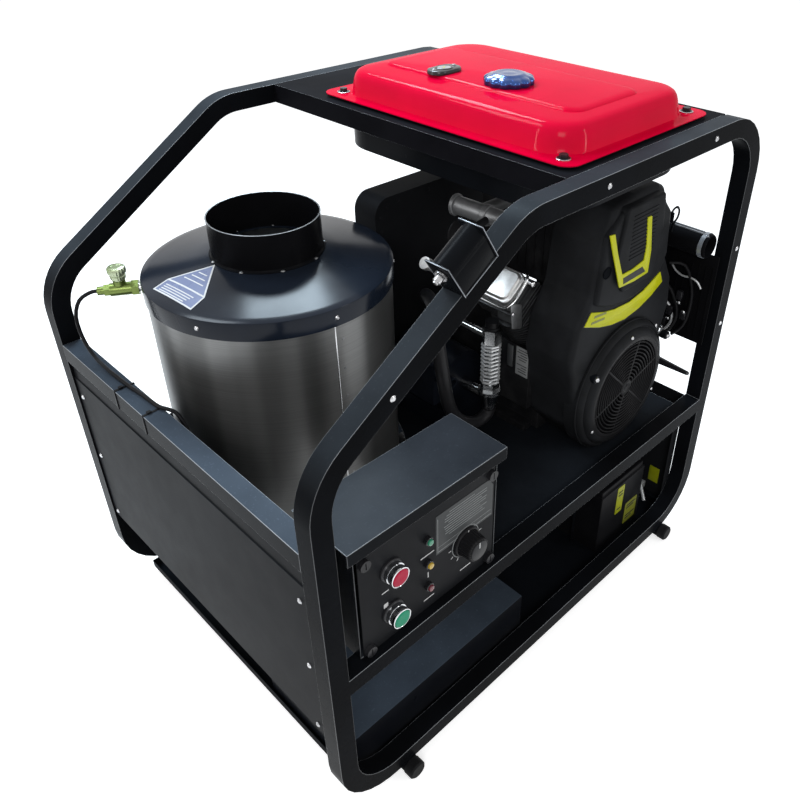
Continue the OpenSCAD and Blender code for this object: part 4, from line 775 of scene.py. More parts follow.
# ---- Frame and sheet metal ----
for node, paint in (("side_frame_near", tube_paint), ("side_frame_far", tube_paint),
                    ("end_rail", rail_paint)):
    eased_copy(node, 2.2, paint, steps=3, edge=edge_sheen)
eased_copy("top_platform", 1.3, platform_paint, edge=edge_sheen)
eased_copy("deck_plate", 1.2, deck_paint, edge=edge_sheen)
eased_copy("floor_pan", 1.5, pan_paint)
eased_copy("end_panel", 0.9, panel_paint)
eased_copy("control_box", 1.2, box_paint, edge=edge_sheen)
eased_copy("burner_tank", 2.5, burner_paint)
eased_copy("guard_plate", 1.0, panel_paint)
eased_copy("valve_covers", 7.0, cover_alloy, steps=5)
eased_copy("cylinders", 1.2, cast_alloy, steps=2)
eased_copy("crankcase", 3.0, case_black, steps=3)
eased_copy("pump_body", 2.0, pump_paint, steps=2)
eased_copy("battery", 2.5, battery_case, steps=3)

# ---- Fuel tank ----
FLANGE_X = (-3, 418)
FLANGE_Y = (-365, 245)
FLANGE_LOW = 1035.5
FLANGE_TOP = 1037.0
# each level of the pressed wall: how far it is drawn in, its corner radius and its height
WALL = [(0, 28, FLANGE_LOW), (0, 28, FLANGE_TOP), (22, 66, FLANGE_TOP), (24, 66, FLANGE_TOP + 0.7),
        (25.2, 66, FLANGE_TOP + 3), (27, 65, FLANGE_TOP + 14), (29, 64, FLANGE_TOP + 26),
        (31.5, 62, FLANGE_TOP + 34), (35.5, 59, FLANGE_TOP + 40), (41, 55, FLANGE_TOP + 43.6),
        (48, 50, FLANGE_TOP + 45.2), (58, 44, FLANGE_TOP + 46.2)]
FIELD_X = (97, 288)
FIELD_Y = (-297, 178)
FIELD_TOP = 1089.2
CAP_AT = (148, -108)

tank_shell = pressed([drawn_in(FLANGE_X, FLANGE_Y, *level) for level in WALL] + [
    drawn_in(FIELD_X, FIELD_Y, 0, 30, 1084.6), drawn_in(FIELD_X, FIELD_Y, 1.5, 28, 1086.4, 2),
    drawn_in(FIELD_X, FIELD_Y, 4.5, 25, 1088.4, 8), drawn_in(FIELD_X, FIELD_Y, 10, 20, FIELD_TOP, 16)])
neck = turned([(37, -2), (35.5, 0.4), (34, 1), (34, 7), (31, 7), (31, -2)], (*CAP_AT, FIELD_TOP),
              closed=True, steps=64)
add_piece("fuel_tank_shell", gather(tank_shell, neck), tank_red, stands_for=("tank_upper",),
          soft=28)

CAP_R = 45.5
CAP_LOBES = 12


def lobed(profile, lobes, depth, steps=144):
    """Lathe work whose rim waves in and out; depth is full at the outermost radius."""
    shape = turned(profile, steps=steps)
    rim = max(radius for radius, _ in profile)
    for point in shape.verts:
        radius = point.co.xy.length
        if radius > rim * 0.6:
            share = (radius / rim - 0.6) / 0.4
            wave = 0.5 - 0.5 * math.cos(lobes * math.atan2(point.co.y, point.co.x))
            point.co.xy *= 1.0 - share * depth * (wave ** 2) / rim
    return shape


# the cap from its rim inwards: how far in from the rim, and the height
CAP_SIDE = [(1.6, 0.0), (0, 1.4), (0, 8.5), (0.8, 11.0), (3.4, 13.2), (7, 14.6), (12, 15.6), (15, 16.6),
            (18, 18.4), (22, 19.2), (28, 18.0), (34, 18.4)]
fuel_cap = lobed([(35, 0.0)] + [(CAP_R - inset, height) for inset, height in CAP_SIDE] + [(0, 19.6)],
                 CAP_LOBES, 4.2)
fuel_cap = moved(gather(fuel_cap, turned([(35, 0), (35, 5), (0, 5)], steps=48)), *CAP_AT, FIELD_TOP + 0.3)
add_piece("fuel_cap_lobed", fuel_cap, cap_blue, body="fuel_cap", stands_for=("fuel_cap",),
          soft=50)

GAUGE_AT = (126, 32, FIELD_TOP)
GAUGE_X = (GAUGE_AT[0] - 36, GAUGE_AT[0] + 36)
GAUGE_Y = (GAUGE_AT[1] - 22, GAUGE_AT[1] + 22)
gauge_base = pressed([drawn_in(GAUGE_X, GAUGE_Y, inset, radius, FIELD_TOP + high) for inset, radius, high in
                      ((0, 21.9, 0), (0, 21.9, 4), (1.4, 20.5, 6.6), (4, 17.9, 7.4))])
window = turned([(16.5, 7.0), (16.5, 8.2), (15.4, 8.8), (13.6, 8.8), (13.0, 8.0), (0, 8.0)], GAUGE_AT,
                steps=48)
add_piece("fuel_gauge_base", gather(gauge_base, window), gauge_plastic,
          stands_for=("fuel_gauge",), soft=30)
gauge_screws = [(GAUGE_AT[0] + side * 26, GAUGE_AT[1], FIELD_TOP + 7.2) for side in (-1, 1)]
dial = gather(turned([(12.8, 8.05), (12.8, 8.3), (0, 8.3)], GAUGE_AT, steps=40),
              screw_heads(gauge_screws, "Z", 4.0, 2.4))
add_piece("fuel_gauge_dial", dial, clear_rim)
needle = moved(brick((-8.5, -0.7, 8.3), (6, 0.7, 8.7)), *GAUGE_AT, turn=35)
add_piece("fuel_gauge_needle", needle, trim_yellow)

# ---- Boiler ----
BOILER = (-239, 125)
LID_R = 229.5
LID_LOW = 760.6
LID_Z = 794.6
FLUE_Z = 820.6
FLUE_R = 101.5
FLUE_TOP = 890.6


def cone_height(radius):
    """Height of the lid's cone at a radius."""
    return LID_Z + (FLUE_Z - LID_Z) * (LID_R - radius) / (LID_R - FLUE_R - 4)


lid = turned([(228.1, LID_LOW), (LID_R, LID_LOW), (LID_R, LID_Z - 2.2), (229.0, LID_Z - 0.6),
              (227.4, LID_Z + 0.4), (215, cone_height(215)), (190, cone_height(190)),
              (160, cone_height(160)), (130, cone_height(130)), (106, FLUE_Z), (102, FLUE_Z + 0.2),
              (95.5, FLUE_Z), (95.5, FLUE_Z - 1.4), (104, FLUE_Z - 1.4), (222, LID_Z - 0.6), (222, 790),
              (227.6, 790), (228.1, 789)], (*BOILER, 0), closed=True, steps=160)
add_piece("boiler_lid_pressed", lid, lid_paint, stands_for=("boiler_lid",), soft=25)
flue = turned([(FLUE_R - 1.2, FLUE_Z), (FLUE_R + 4, FLUE_Z), (FLUE_R + 4, FLUE_Z + 1.4),
               (FLUE_R + 1.6, FLUE_Z + 2.2), (FLUE_R, FLUE_Z + 4.6), (FLUE_R, FLUE_TOP - 1.6),
               (FLUE_R + 0.3, FLUE_TOP - 0.5), (FLUE_R - 0.5, FLUE_TOP), (FLUE_R - 1.3, FLUE_TOP - 0.4),
               (FLUE_R - 1.5, FLUE_TOP - 2)], (*BOILER, 0), closed=True, steps=144)
add_piece("flue_rolled", flue, flue_paint, stands_for=("flue_collar",), soft=30)
rim = turned([(FLUE_R - 1.6, -0.5), (FLUE_R + 0.5, -0.5), (FLUE_R + 0.6, 0.1), (FLUE_R - 0.4, 0.5),
              (FLUE_R - 1.6, 0.1)], (*BOILER, FLUE_TOP), closed=True, steps=144)
add_piece("flue_rim", rim, steel_dull)
tacks = turned_each([(4.2, 0), (3.4, 1.3), (1.8, 2.0), (0, 2.2)],
                    [(*around(BOILER, FLUE_R + 2.5, angle), FLUE_Z + 1.2) for angle in range(10, 370, 40)],
                    steps=12)
add_piece("flue_tack_welds", tacks, steel_dull, soft=60)


def cone_patch(outline, lift, thick, rim=0.0):
    """A thin plate cut to an outline and laid on the lid's cone; rim keeps only a border of that width."""
    shape = bmesh.new()
    face = shape.faces.new([shape.verts.new((x, y, 0)) for x, y in outline])
    shape.normal_update()
    if rim:
        border = bmesh.ops.inset_individual(shape, faces=[face], thickness=rim, use_even_offset=True)["faces"]
        inner = [each for each in shape.faces if each not in border]
        bmesh.ops.delete(shape, geom=inner, context="FACES_ONLY")
    bmesh.ops.triangulate(shape, faces=shape.faces[:])
    bmesh.ops.subdivide_edges(shape, edges=shape.edges[:], cuts=5, use_grid_fill=True)
    for point in shape.verts:
        point.co.z = cone_height(point.co.xy.length) + lift
    bmesh.ops.solidify(shape, geom=shape.faces[:], thickness=-thick)
    return moved(shape, *BOILER)


def patch_row(start, end, wide):
    """A strip on the lid between two points."""
    side = (Vector(end) - Vector(start)).normalized().orthogonal() * wide / 2
    return cone_patch([Vector(start) - side, Vector(end) - side, Vector(end) + side, Vector(start) + side],
                      0.75, 0.2)


NOTICE = [Vector(point) for point in ((-106, 7), (-178, 48), (-210, 44), (-202, -68), (-169, -59))]
TIP, SIDE_FAR, BASE_FAR, BASE_NEAR, SIDE_NEAR = NOTICE
add_piece("lid_plate", cone_patch(NOTICE, 0.2, 0.5), lid_label, soft=30)
notice_rows = [patch_row(SIDE_FAR.lerp(SIDE_NEAR, 0.03), SIDE_FAR.lerp(SIDE_NEAR, 0.97), 3.2)]
for share in (0.34, 0.5, 0.66, 0.82):
    first, last = SIDE_FAR.lerp(BASE_FAR, share), SIDE_NEAR.lerp(BASE_NEAR, share)
    notice_rows.append(patch_row(first.lerp(last, 0.1), first.lerp(last, 0.9 - share * 0.2), 2.0))
for share, short in ((0.42, 0.24), (0.58, 0.2), (0.74, 0.16)):
    first, last = TIP.lerp(SIDE_FAR, share), TIP.lerp(SIDE_NEAR, share)
    notice_rows.append(patch_row(first.lerp(last, short), first.lerp(last, 1 - short), 2.2))
add_piece("lid_plate_border", gather(cone_patch(NOTICE, 0.75, 0.25, 3.0), *notice_rows), print_white,
          soft=30)

# ---- Fan shroud ----
CRANK = (300, 472)
SHROUD_FRONT = -318
SHROUD_BACK = -205
BLOCK_FRONT = -334
SHOULDER_FRONT = SHROUD_FRONT - 9
SHROUD_LOW = 342.4
FAN_OPEN = 113.0
FAN_AT = (CRANK[0], SHROUD_FRONT, CRANK[1])
SHROUD_HALF = [(75, 342.3, 6), (141, 421, 30), (158, 530, 40), (178, 600, 22), (166, 670, 18), (130, 730, 26),
               (116, 830, 14), (82, 894, 16)]


def shroud_side(side):
    """Half of the shroud's outline, from the bottom up, on one side."""
    return [(CRANK[0] + side * across, up, radius) for across, up, radius in SHROUD_HALF]


outline = shroud_side(1) + [(CRANK[0] + 60, 905, 10), (CRANK[0] - 20, 905, 10)] + shroud_side(-1)[::-1]
shell = upright(outline, SHROUD_BACK, SHROUD_BACK - SHROUD_FRONT, 13.0, 5, hole=(*CRANK, FAN_OPEN))
collar = turned([(152, -24), (150.5, 0), (149.5, 6), (146, 13), (143, 16), (139.5, 17.5), (137.8, 15.0),
                 (136.2, 15.2), (134.5, 19.5), (131, 23.5), (127, 25.8), (122, 27), (117, 27),
                 (FAN_OPEN, 25), (FAN_OPEN, -24)], FAN_AT, "-Y", closed=True, steps=128)
cut_below(collar, SHROUD_LOW)
bmesh.ops.holes_fill(collar, edges=[edge for edge in collar.edges if edge.is_boundary])
seam = turned([(150.6, 2), (152.4, 3), (152.4, 6), (150.6, 7)], FAN_AT, "-Y", closed=True, steps=96)
cut_below(seam, 343)
BLOCK = [(-64, 893, 8), (-82, 800, 6), (-52, 716, 12), (52, 716, 12), (72, 800, 6), (60, 893, 8)]
block_face = upright([(CRANK[0] + across, up, radius) for across, up, radius in BLOCK], SHROUD_FRONT + 2,
                     18, 5.0, 4)
SHOULDER = [(176, 712, 8), (216, 694, 0), (251, 686, 0), (304, 682, 0), (356, 690, 0), (398, 708, 8),
            (414, 745, 8), (404, 840, 8), (362, 884, 8), (232, 884, 8), (190, 846, 8)]
shoulder = upright(SHOULDER, SHROUD_FRONT + 3, 12, 7.0, 3)
RIDGE_X = (CRANK[0] - 44, CRANK[0] + 36)
ridges = gather(*[upright(cornered([(RIDGE_X[0], up), (RIDGE_X[0], up - 2.2), (RIDGE_X[1], up - 2.2),
                                    (RIDGE_X[1], up)]), BLOCK_FRONT + 0.2, 1.6, 0.6, 2)
                  for up in range(786, 880, 8)])
LEVER_Y = -300
LEVER_H = CRANK[1] - 31
LEVER_X = CRANK[0] + 178
boss = gather(rod((CRANK[0] + 144, LEVER_Y, LEVER_H), (LEVER_X, LEVER_Y, LEVER_H), 9),
              rod((LEVER_X, LEVER_Y, LEVER_H), (LEVER_X + 17, LEVER_Y, LEVER_H), 5))
add_piece("shroud_moulding", gather(shell, collar, shoulder, block_face, ridges, seam, boss), shroud_grey,
          stands_for=("fan_shroud",), soft=32)
# Near-black discs at the shroud's screw holes: painted shade standing in for the depth of the holes.
sockets = turned_each([(12.5, -1), (12.5, 0.9), (10.8, 1.3), (9.6, 0.4), (0, 0.4)],
                      on_depth(((197, 776), (353, 808)), SHOULDER_FRONT), "-Y", steps=40)
add_piece("shroud_screw_sockets", sockets, pan_paint)

TRIM_U = [(178, 860), (195, 819), (232, 735), (283, 731), (330, 733), (330, 781), (314, 858), (299.5, 859),
          (310, 799), (309, 767), (273, 761), (236.5, 761), (212, 813), (194, 858)]
BAND_LOW = [(152, 674), (176, 664), (205, 652), (248, 640), (295, 634), (345, 640), (386, 653), (404, 662),
            (424, 672)]
BAND_TOP = [(410, 700), (390, 691), (356, 678), (304, 670), (251, 674), (216, 682), (171, 698)]
trim = upright(cornered(TRIM_U, 1.2), BLOCK_FRONT, 2.2, 0.7, 2)
band = upright(cornered(BAND_LOW + BAND_TOP, 1.5), SHROUD_FRONT + 0.5, 3.0, 0.8, 2)
add_piece("shroud_yellow_trim", gather(trim, band), trim_yellow, soft=40)


def swollen(points, grow):
    """The outline grown from its middle."""
    middle = Vector((sum(x for x, _ in points) / len(points), sum(up for _, up in points) / len(points)))
    return [tuple(Vector(point) + (Vector(point) - middle).normalized() * grow) for point in points]


backing = gather(upright(cornered(swollen(BAND_LOW + BAND_TOP, 3.5), 1.5), SHROUD_FRONT + 0.2, 1.2),
                 upright(cornered(((240, 753), (305, 755), (318, 740), (243, 739))), BLOCK_FRONT - 2.0, 0.6))
add_piece("shroud_trim_backing", backing, trim_edge)


def slanted_bar(across, up, wide):
    """A thin bar with both ends cut on the slant."""
    corners = [(across, up), (across + wide, up - 6), (across + wide, up - 1), (across + 3, up + 5)]
    return upright(cornered(corners), SHROUD_FRONT - 2.4, 0.5)


bars = gather(slanted_bar(180, 682, 42), slanted_bar(172, 671, 46))
add_piece("shroud_trim_bars", bars, trim_bar)

SHROUD_SCREWS = [(388, SHROUD_FRONT, 352), (432, SHROUD_FRONT, 560), (262, SHROUD_FRONT - 22, 352)]
LUG_BOLTS = [(185, 547), (448, 537)]
lugs = turned_each([(9.5, 0), (9.5, 12), (8.2, 13.6), (0, 13.6)], on_depth(LUG_BOLTS, SHROUD_FRONT - 10),
                   "-Y", 32)
add_piece("shroud_lugs", lugs, tank_black, soft=30)
collar_spots = [around(CRANK, 126, angle) for angle in (92, 208, 332)]
screws = gather(screw_heads(SHROUD_SCREWS, "-Y", 6.0, 4.0),
                screw_heads(on_depth(LUG_BOLTS, SHROUD_FRONT - 23.6), "-Y", 5.6, 5.0),
                screw_heads(on_depth(collar_spots, SHROUD_FRONT - 25.5), "-Y", 4.4, 3.0))
add_piece("shroud_screws", screws, fastener_zinc)

GRILLE_AT = (CRANK[0], SHROUD_FRONT - 22.0, CRANK[1])
rings = [turned([(radius, 0.6), (radius, 3.6), (radius + 1.4, 4.4), (radius + 2.8, 3.6),
                 (radius + 2.8, 0.6)], GRILLE_AT, "-Y", closed=True, steps=72)
         for radius in range(16, 112, 8)]
spokes = [aimed(moved(brick((14, -2.0, 0.4), (113, 2.0, 4.0), 0.6), turn=angle), GRILLE_AT, "-Y")
          for angle in range(15, 375, 60)]
hub = turned([(17, 0), (17, 4.4), (15.5, 5.2), (11, 5.6), (10, 4.8), (0, 4.8)], GRILLE_AT, "-Y", steps=48)
edge_ring = turned([(110, -2), (110, 4.6), (111.5, 5.6), (FAN_OPEN + 6, 5.6), (FAN_OPEN + 7.5, 4.8),
                    (FAN_OPEN + 7.5, 4.2), (FAN_OPEN - 0.3, 4.2), (FAN_OPEN - 0.3, -2)], GRILLE_AT, "-Y",
                   closed=True, steps=96)
add_piece("fan_grille_rings", gather(*rings, *spokes, hub, edge_ring), grille_black,
          stands_for=("fan_grille",), soft=40)

# ---- Control panel ----
FACE = -396
BOX_LOW = 359


def on_face(x, up, lift=0.0):
    """A point on the panel's face."""
    return (x, FACE - lift, BOX_LOW + up)


def face_mark(x, up, wide, high, lift=0.25, turn=0.0):
    """A small printed bar on the panel's face."""
    bar = moved(cut_sheet(oblong(-wide / 2, -high / 2, wide, high), lift), turn=turn)
    return moved(facing_near(bar, 0), *on_face(x, up))


PRINT_LIFT = 0.95
KNOB_MIDDLE = (-250, 96)
LABEL_MIDDLE = (-252, 155)
LABEL = [(-68, -43, 2), (68, -43, 2), (68, 26, 2), (58, 43, 8), (-68, 43, 2)]
plate = moved(upright(LABEL, 0, 0.7, 0.2, 1), *on_face(*LABEL_MIDDLE))
add_piece("panel_label", plate, label_film)
# how far each printed row is shifted, and how wide it is
LABEL_ROWS = ((-8, 60), (4, 96), (2, 100), (-4, 88), (6, 92), (0, 100), (-6, 84), (3, 98), (-2, 90), (5, 86))
rows = [face_mark(LABEL_MIDDLE[0] + shift, 190 - 5.4 * row, wide, 1.5, PRINT_LIFT)
        for row, (shift, wide) in enumerate(LABEL_ROWS)]
LABEL_FRAME = ((-252, 117, 128, 1.4), (-252, 127, 128, 1.0), (-316, 153, 1.2, 76))
frame_bars = [face_mark(*bar, PRINT_LIFT) for bar in LABEL_FRAME]
add_piece("panel_label_rules", gather(*rows, *frame_bars), label_rule)
PANEL_MARKS = ((-339, 128, 30, 2.0), (-337, 25, 24, 2.0), (-338, 81, 2.0, 12), (-430, 115, 14, 2.0),
               (-249, 31, 26, 2.0), (-430, 84, 9, 9))
knob_ticks = [face_mark(*around(KNOB_MIDDLE, 37, angle), 6, 1.6, turn=angle) for angle in range(-60, 245, 30)]
marks = gather(*[face_mark(*mark) for mark in PANEL_MARKS], *knob_ticks)
add_piece("panel_marks", marks, print_white)
scale_ring = turned([(32.5, 0), (32.5, 0.8), (31, 1.0), (31, 0)], on_face(*KNOB_MIDDLE), "-Y", closed=True,
                    steps=64)
add_piece("knob_scale_ring", scale_ring, label_rule)

BUTTON_X = -417
BUTTONS = (("red", 156, red_lens), ("green", 61, green_lens))
button_seats = [on_face(BUTTON_X, up) for _, up, _ in BUTTONS]
for name, up, paint in BUTTONS:
    cap = turned([(15.6, 11), (15.6, 24.0), (14.6, 24.9), (12.5, 25.2), (6, 24.8), (0, 24.6)],
                 on_face(BUTTON_X, up), "-Y", steps=64)
    add_piece(name + "_button_cap", cap, paint, body=name + "_button",
              stands_for=(name + "_button",), soft=40)
bezels = turned_each([(16.2, 3), (16.2, 23.4), (17.0, 24.2), (18.3, 23.6), (18.9, 21.6), (19, 18.5),
                      (17.6, 18.0), (17.6, 12.5), (19, 12.0), (19, 0), (16.2, 0)], button_seats, "-Y", 72,
                     closed=True)
add_piece("button_bezel_rings", bezels, chrome, stands_for=("button_bezels",), soft=35)
collars = turned_each([(21.5, 0), (21.5, 3), (20.5, 4.2), (19.05, 4.2), (19.05, 0)], button_seats, "-Y",
                      64, closed=True)
add_piece("button_collars", collars, bolt_black)

LAMP_X = -340
LAMPS = (("green", 164, lamp_green), ("yellow", 111, lamp_yellow), ("red", 58, lamp_red))
lamp_cases = turned_each([(8, 0), (8, 7.4), (7.2, 8.2), (6.2, 8.4), (6.2, 6), (0, 6)],
                         [on_face(LAMP_X, up) for _, up, _ in LAMPS], "-Y", 40)
add_piece("lamp_cases", lamp_cases, gauge_plastic, stands_for=("indicator_lamps",), soft=40)
for name, up, paint in LAMPS:
    dome = turned([(6.0, 6), (6.0, 9.6), (5.2, 11.6), (3.4, 12.6), (0, 13)], on_face(LAMP_X, up), "-Y",
                  steps=40)
    add_piece(name + "_lamp_lens", dome, paint)

KNOB_AT = on_face(*KNOB_MIDDLE, 0.3)
skirt = lobed([(29, 0), (29, 5), (28, 6.4), (26, 7)], 1, 0, steps=96)
grip = lobed([(25.2, 6.5), (24.6, 10), (23.4, 28), (22.4, 31.6), (20.6, 33)], 24, 1.3, steps=192)
knob = gather(skirt, grip, turned([(20.6, 33), (19.6, 32.4), (0, 32.4)]), turned([(29, 0), (0, 0)]))
add_piece("control_knob_grip", aimed(knob, KNOB_AT, "-Y"), knob_black, body="control_knob",
          stands_for=("control_knob",), soft=38)
disc = turned([(18.8, 32.3), (18.8, 33.0), (18.0, 33.4), (0, 33.4)], steps=64)
add_piece("control_knob_disc", aimed(disc, KNOB_AT, "-Y"), knob_face, body="control_knob")
pointer = gather(brick((-1.0, 6, 33.2), (1.0, 18, 33.7)), brick((-1.0, 24.5, 6.8), (1.0, 28.4, 7.4)))
add_piece("control_knob_pointer", aimed(pointer, KNOB_AT, "-Y"), print_white,
          body="control_knob")

# ---- Engine, pump and boiler fittings ----
DUCT = (84, 862)
CLEANER_X = (215, 385)
CLEANER_Y = (-196, 20)
CLEANER_LOW = 690
CLEANER_TOP = 885
LID_SEAM = CLEANER_TOP - 24
elbow = gather(rod((DUCT[0], -44, DUCT[1]), (DUCT[0] + 12, -176, DUCT[1] - 3), 18, 40),
               rod((DUCT[0] - 0.4, -48, DUCT[1]), (DUCT[0] - 1.5, -40, DUCT[1]), 21.5, 40),
               rod((DUCT[0] + 6, -112, DUCT[1] - 1.5), (DUCT[0] + 7.4, -124, DUCT[1] - 1.8), 20.5, 40),
               rod((DUCT[0], -90, DUCT[1] - 6), (CLEANER_X[0] + 4, -90, DUCT[1] - 6), 13, 32))
add_piece("intake_elbow", elbow, duct_grey, stands_for=("air_duct",), ease=2.0, steps=3)


def round_box(across, along, low, high, corner, ease):
    """Upright box with round corners and a rounded top edge."""
    return pressed([drawn_in(across, along, 0, corner, low), drawn_in(across, along, 0, corner, high - ease),
                    drawn_in(across, along, ease * 0.3, corner, high - ease * 0.3),
                    drawn_in(across, along, ease, corner - ease * 0.5, high)])


cleaner_lid = round_box((CLEANER_X[0] + 4, CLEANER_X[1] - 4), (CLEANER_Y[0] + 4, CLEANER_Y[1] - 4),
                        LID_SEAM, CLEANER_TOP, 20, 7)
cleaner_ribs = [brick((CLEANER_X[0] - 2.2, along, CLEANER_LOW + 14),
                      (CLEANER_X[0] + 1, along + 4, CLEANER_TOP - 34), 0.8)
                for along in range(CLEANER_Y[0] + 34, CLEANER_Y[1] - 30, 22)]
cleaner_ribs += [brick((across, CLEANER_Y[0] - 2.2, CLEANER_LOW + 14),
                       (across + 4, CLEANER_Y[0] + 1, CLEANER_TOP - 34), 0.8)
                 for across in range(CLEANER_X[0] + 34, CLEANER_X[1] - 30, 22)]
cleaner = gather(round_box(CLEANER_X, CLEANER_Y, CLEANER_LOW, LID_SEAM, 22, 3), cleaner_lid,
                 brick((CRANK[0] - 11, -150, 581), (CRANK[0] + 11, -90, CLEANER_LOW), 3), *cleaner_ribs)
add_piece("air_cleaner_case", cleaner, case_black, soft=30)
CLIP_X = CLEANER_X[0] - 5


def cleaner_clip(along):
    """A spring clip with its hinge pin, on the cleaner's side."""
    leaf = brick((CLIP_X, along - 6, CLEANER_TOP - 44), (CLIP_X + 4, along + 6, CLEANER_TOP - 12), 1.0)
    hinge = rod((CLIP_X, along - 9, CLEANER_TOP - 40), (CLIP_X, along + 9, CLEANER_TOP - 40), 2, 12)
    return gather(leaf, hinge)


clips = gather(cleaner_clip(-140), cleaner_clip(-30))
add_piece("air_cleaner_clips", clips, steel_dull)
folds = [(24 + (5 if step % 2 else 0), 3 + 3.2 * step) for step in range(11)]
bellows = turned([(8, 0), (24, 0)] + folds + [(22, 38), (8, 38)], (15, -112, 848), "-Y", closed=True,
                 steps=56)
link = rod((30, -130, 852), (DUCT[0], -130, DUCT[1] - 2), 7, 20)
add_piece("intake_bellows", gather(bellows, link), rubber, soft=30)

COVER_FACE = CRANK[0] - 160
add_piece("engine_tag", brick((COVER_FACE - 0.9, -201, 503), (COVER_FACE - 0.1, -168, 571), 0.2), tag_grey)
# each row of the tag: its height, and how far it starts and stops short
TAG_ROWS = ((564, 0, 4), (558, 2, 0), (552, 0, 9), (546, 0, 2), (540, 3, 6), (528, 0, 0), (522, 0, 12),
            (516, 2, 3), (510, 0, 5))
tag_rows = bricks([((COVER_FACE - 1.3, -198 + start, up), (COVER_FACE - 0.8, -171 - stop, up + 1.7))
                   for up, start, stop in TAG_ROWS], 0.1)
add_piece("engine_tag_rows", tag_rows, label_dark)
strap = brick((COVER_FACE - 2.6, -160, 514), (COVER_FACE - 0.2, -145, 567), 0.6)
add_piece("engine_strap", strap, steel_dull)

FUEL_ROD = [(-23, -206, 764), (14, -206, 736), (45, -206, 714), (62, -206, 711), (79, -206, 717),
            (98, -206, 732), (112, -206, 748), (120, -200, 752)]
add_tube("fuel_rod", FUEL_ROD, 3.0, steel_bright)
bolts = gather(screw_head((130, -207, 733), "-Y", 7.5, 5.0), rod((130, -207, 733), (130, -160, 733), 4, 16),
               screw_head((106, -188, 655), "-Y", 5, 3.4), screw_head((72, -209, 690), "-Y", 4.2, 3))
add_piece("fuel_rod_bolts", bolts, fastener_zinc)
bracket = gather(upright([(66, 712, 3), (74, 655, 4), (104, 644, 5), (99, 700, 3)], -205, 2.5, 0.5, 2),
                 brick((95, -205, 650), (99, -150, 696), 0.8))
add_piece("fuel_rod_bracket", bracket, steel_dull)
pipe = gather(rod((-17, -60, 777), (84, -62, 700), 9.5, 32), rod((-19, -60, 779), (-9, -60, 771.5), 12.5, 32),
              rod((18, -60, 750), (25, -60, 744.8), 12, 32))
add_piece("breather_pipe", pipe, cover_alloy, ease=0.8)

COIL_T = 0.755
RAKE_LOW = Vector((-542, -398, 762))
RAKE_RUN = Vector((396, 0, 250))
RAKE_TILT = math.degrees(math.atan2(RAKE_RUN.z, RAKE_RUN.x))
coil = gather(rod((0, 0, 0), (68, 0, 0), 20.5, 48), brick((0, -20.5, -40), (68, 20.5, 0), 1.0))
lips = bricks([((at, -22, -41), (at + 3, 22, 20)) for at in (-3, 68)], 1.2)
pin_collar = turned([(10, 0), (10, 2.5), (0, 2.5)], (-7, 0, 0), "X", steps=32)
pin = gather(rod((-16, 0, 0), (-3, 0, 0), 6, 24), pin_collar, rod((-19, 0, 0), (-12, 0, 0), 4, 18))
# Thin bright strips along the coil can's edges: painted highlights.
long_edges = [rod((-1, side * 21.4, -39.5), (69, side * 21.4, -39.5), 0.7, 12) for side in (-1, 1)]
upright_edges = [brick((at, side * 21.6 - 0.5, -40.5), (at + 1.4, side * 21.6 + 0.5, 20), 0.2)
                 for side in (-1, 1) for at in (-3.2, 70.0)]
top_edges = [brick((at, -22, 19.6), (at + 1.4, 22, 20.6), 0.2) for at in (-3.2, 70.0)]
edges = gather(*long_edges, *upright_edges, *top_edges)
coil_middle = RAKE_LOW + RAKE_RUN * COIL_T
seat = (Matrix.Translation(coil_middle) @ Matrix.Rotation(math.radians(-RAKE_TILT), 4, "Y")
        @ Matrix.Translation((-34, 0, 18 + 41.4)))
for part in (coil, lips, pin, edges):
    part.transform(seat)
add_piece("ignition_coil_can", gather(coil, lips), tank_black, stands_for=("ignition_coil",),
          soft=40)
add_piece("ignition_coil_pin", pin, fastener_zinc)
add_piece("ignition_coil_edges", edges, edge_bright)

MUFFLER = (494, 748)
MUFFLER_R = 26
MUFFLER_TOP = MUFFLER[1] + MUFFLER_R
muffler = turned([(MUFFLER_R, 0), (MUFFLER_R, 200), (MUFFLER_R - 2, 203), (MUFFLER_R - 3.5, 203),
                  (MUFFLER_R - 3.5, 24), (4, 24), (4, 21), (MUFFLER_R - 4, 21), (MUFFLER_R - 4, 0)],
                 (MUFFLER[0], -175, MUFFLER[1]), "-Y", closed=True, steps=64)
ports = gather(rod((482.2, -166.4, 672.5), (482.2, -198, 672.5), 11, 32),
               rod((482.2, -166.4, 672.5), (482.2, -172.4, 672.5), 18, 32),
               rod((482.2, -185, 672.5), (506, -185, 672.5), 10, 32),
               rod((494, -185, 672.5), (494, -185, 730), 9, 32))
shield = brick((504, -398, 512), (506.5, -250, 726.5), 0.9)
ribs = bricks([((502.4, along, 524), (504.2, along + 4, 700)) for along in range(-392, -260, 16)], 0.7)
add_piece("muffler_can", gather(muffler, ports, shield, ribs), flue_paint,
          stands_for=("muffler",), soft=35)
straps = bricks([((486 + 9 * step, -366 + 8 * step, MUFFLER_TOP - 1.4),
                  (490 + 9 * step, -236, MUFFLER_TOP + 1.6)) for step in range(2)], 0.8)
hoops = turned_each([(MUFFLER_R + 0.1, 0), (MUFFLER_R + 1.5, 0), (MUFFLER_R + 1.5, 9), (MUFFLER_R + 0.1, 9)],
                    [(MUFFLER[0], along, MUFFLER[1]) for along in (-362, -246)], "-Y", 64, closed=True)
strap_screw = screw_head((486, -371, MUFFLER_TOP - 2), "Z", 4, 3)
add_piece("muffler_straps", gather(straps, hoops, strap_screw), edge_bright, soft=35)

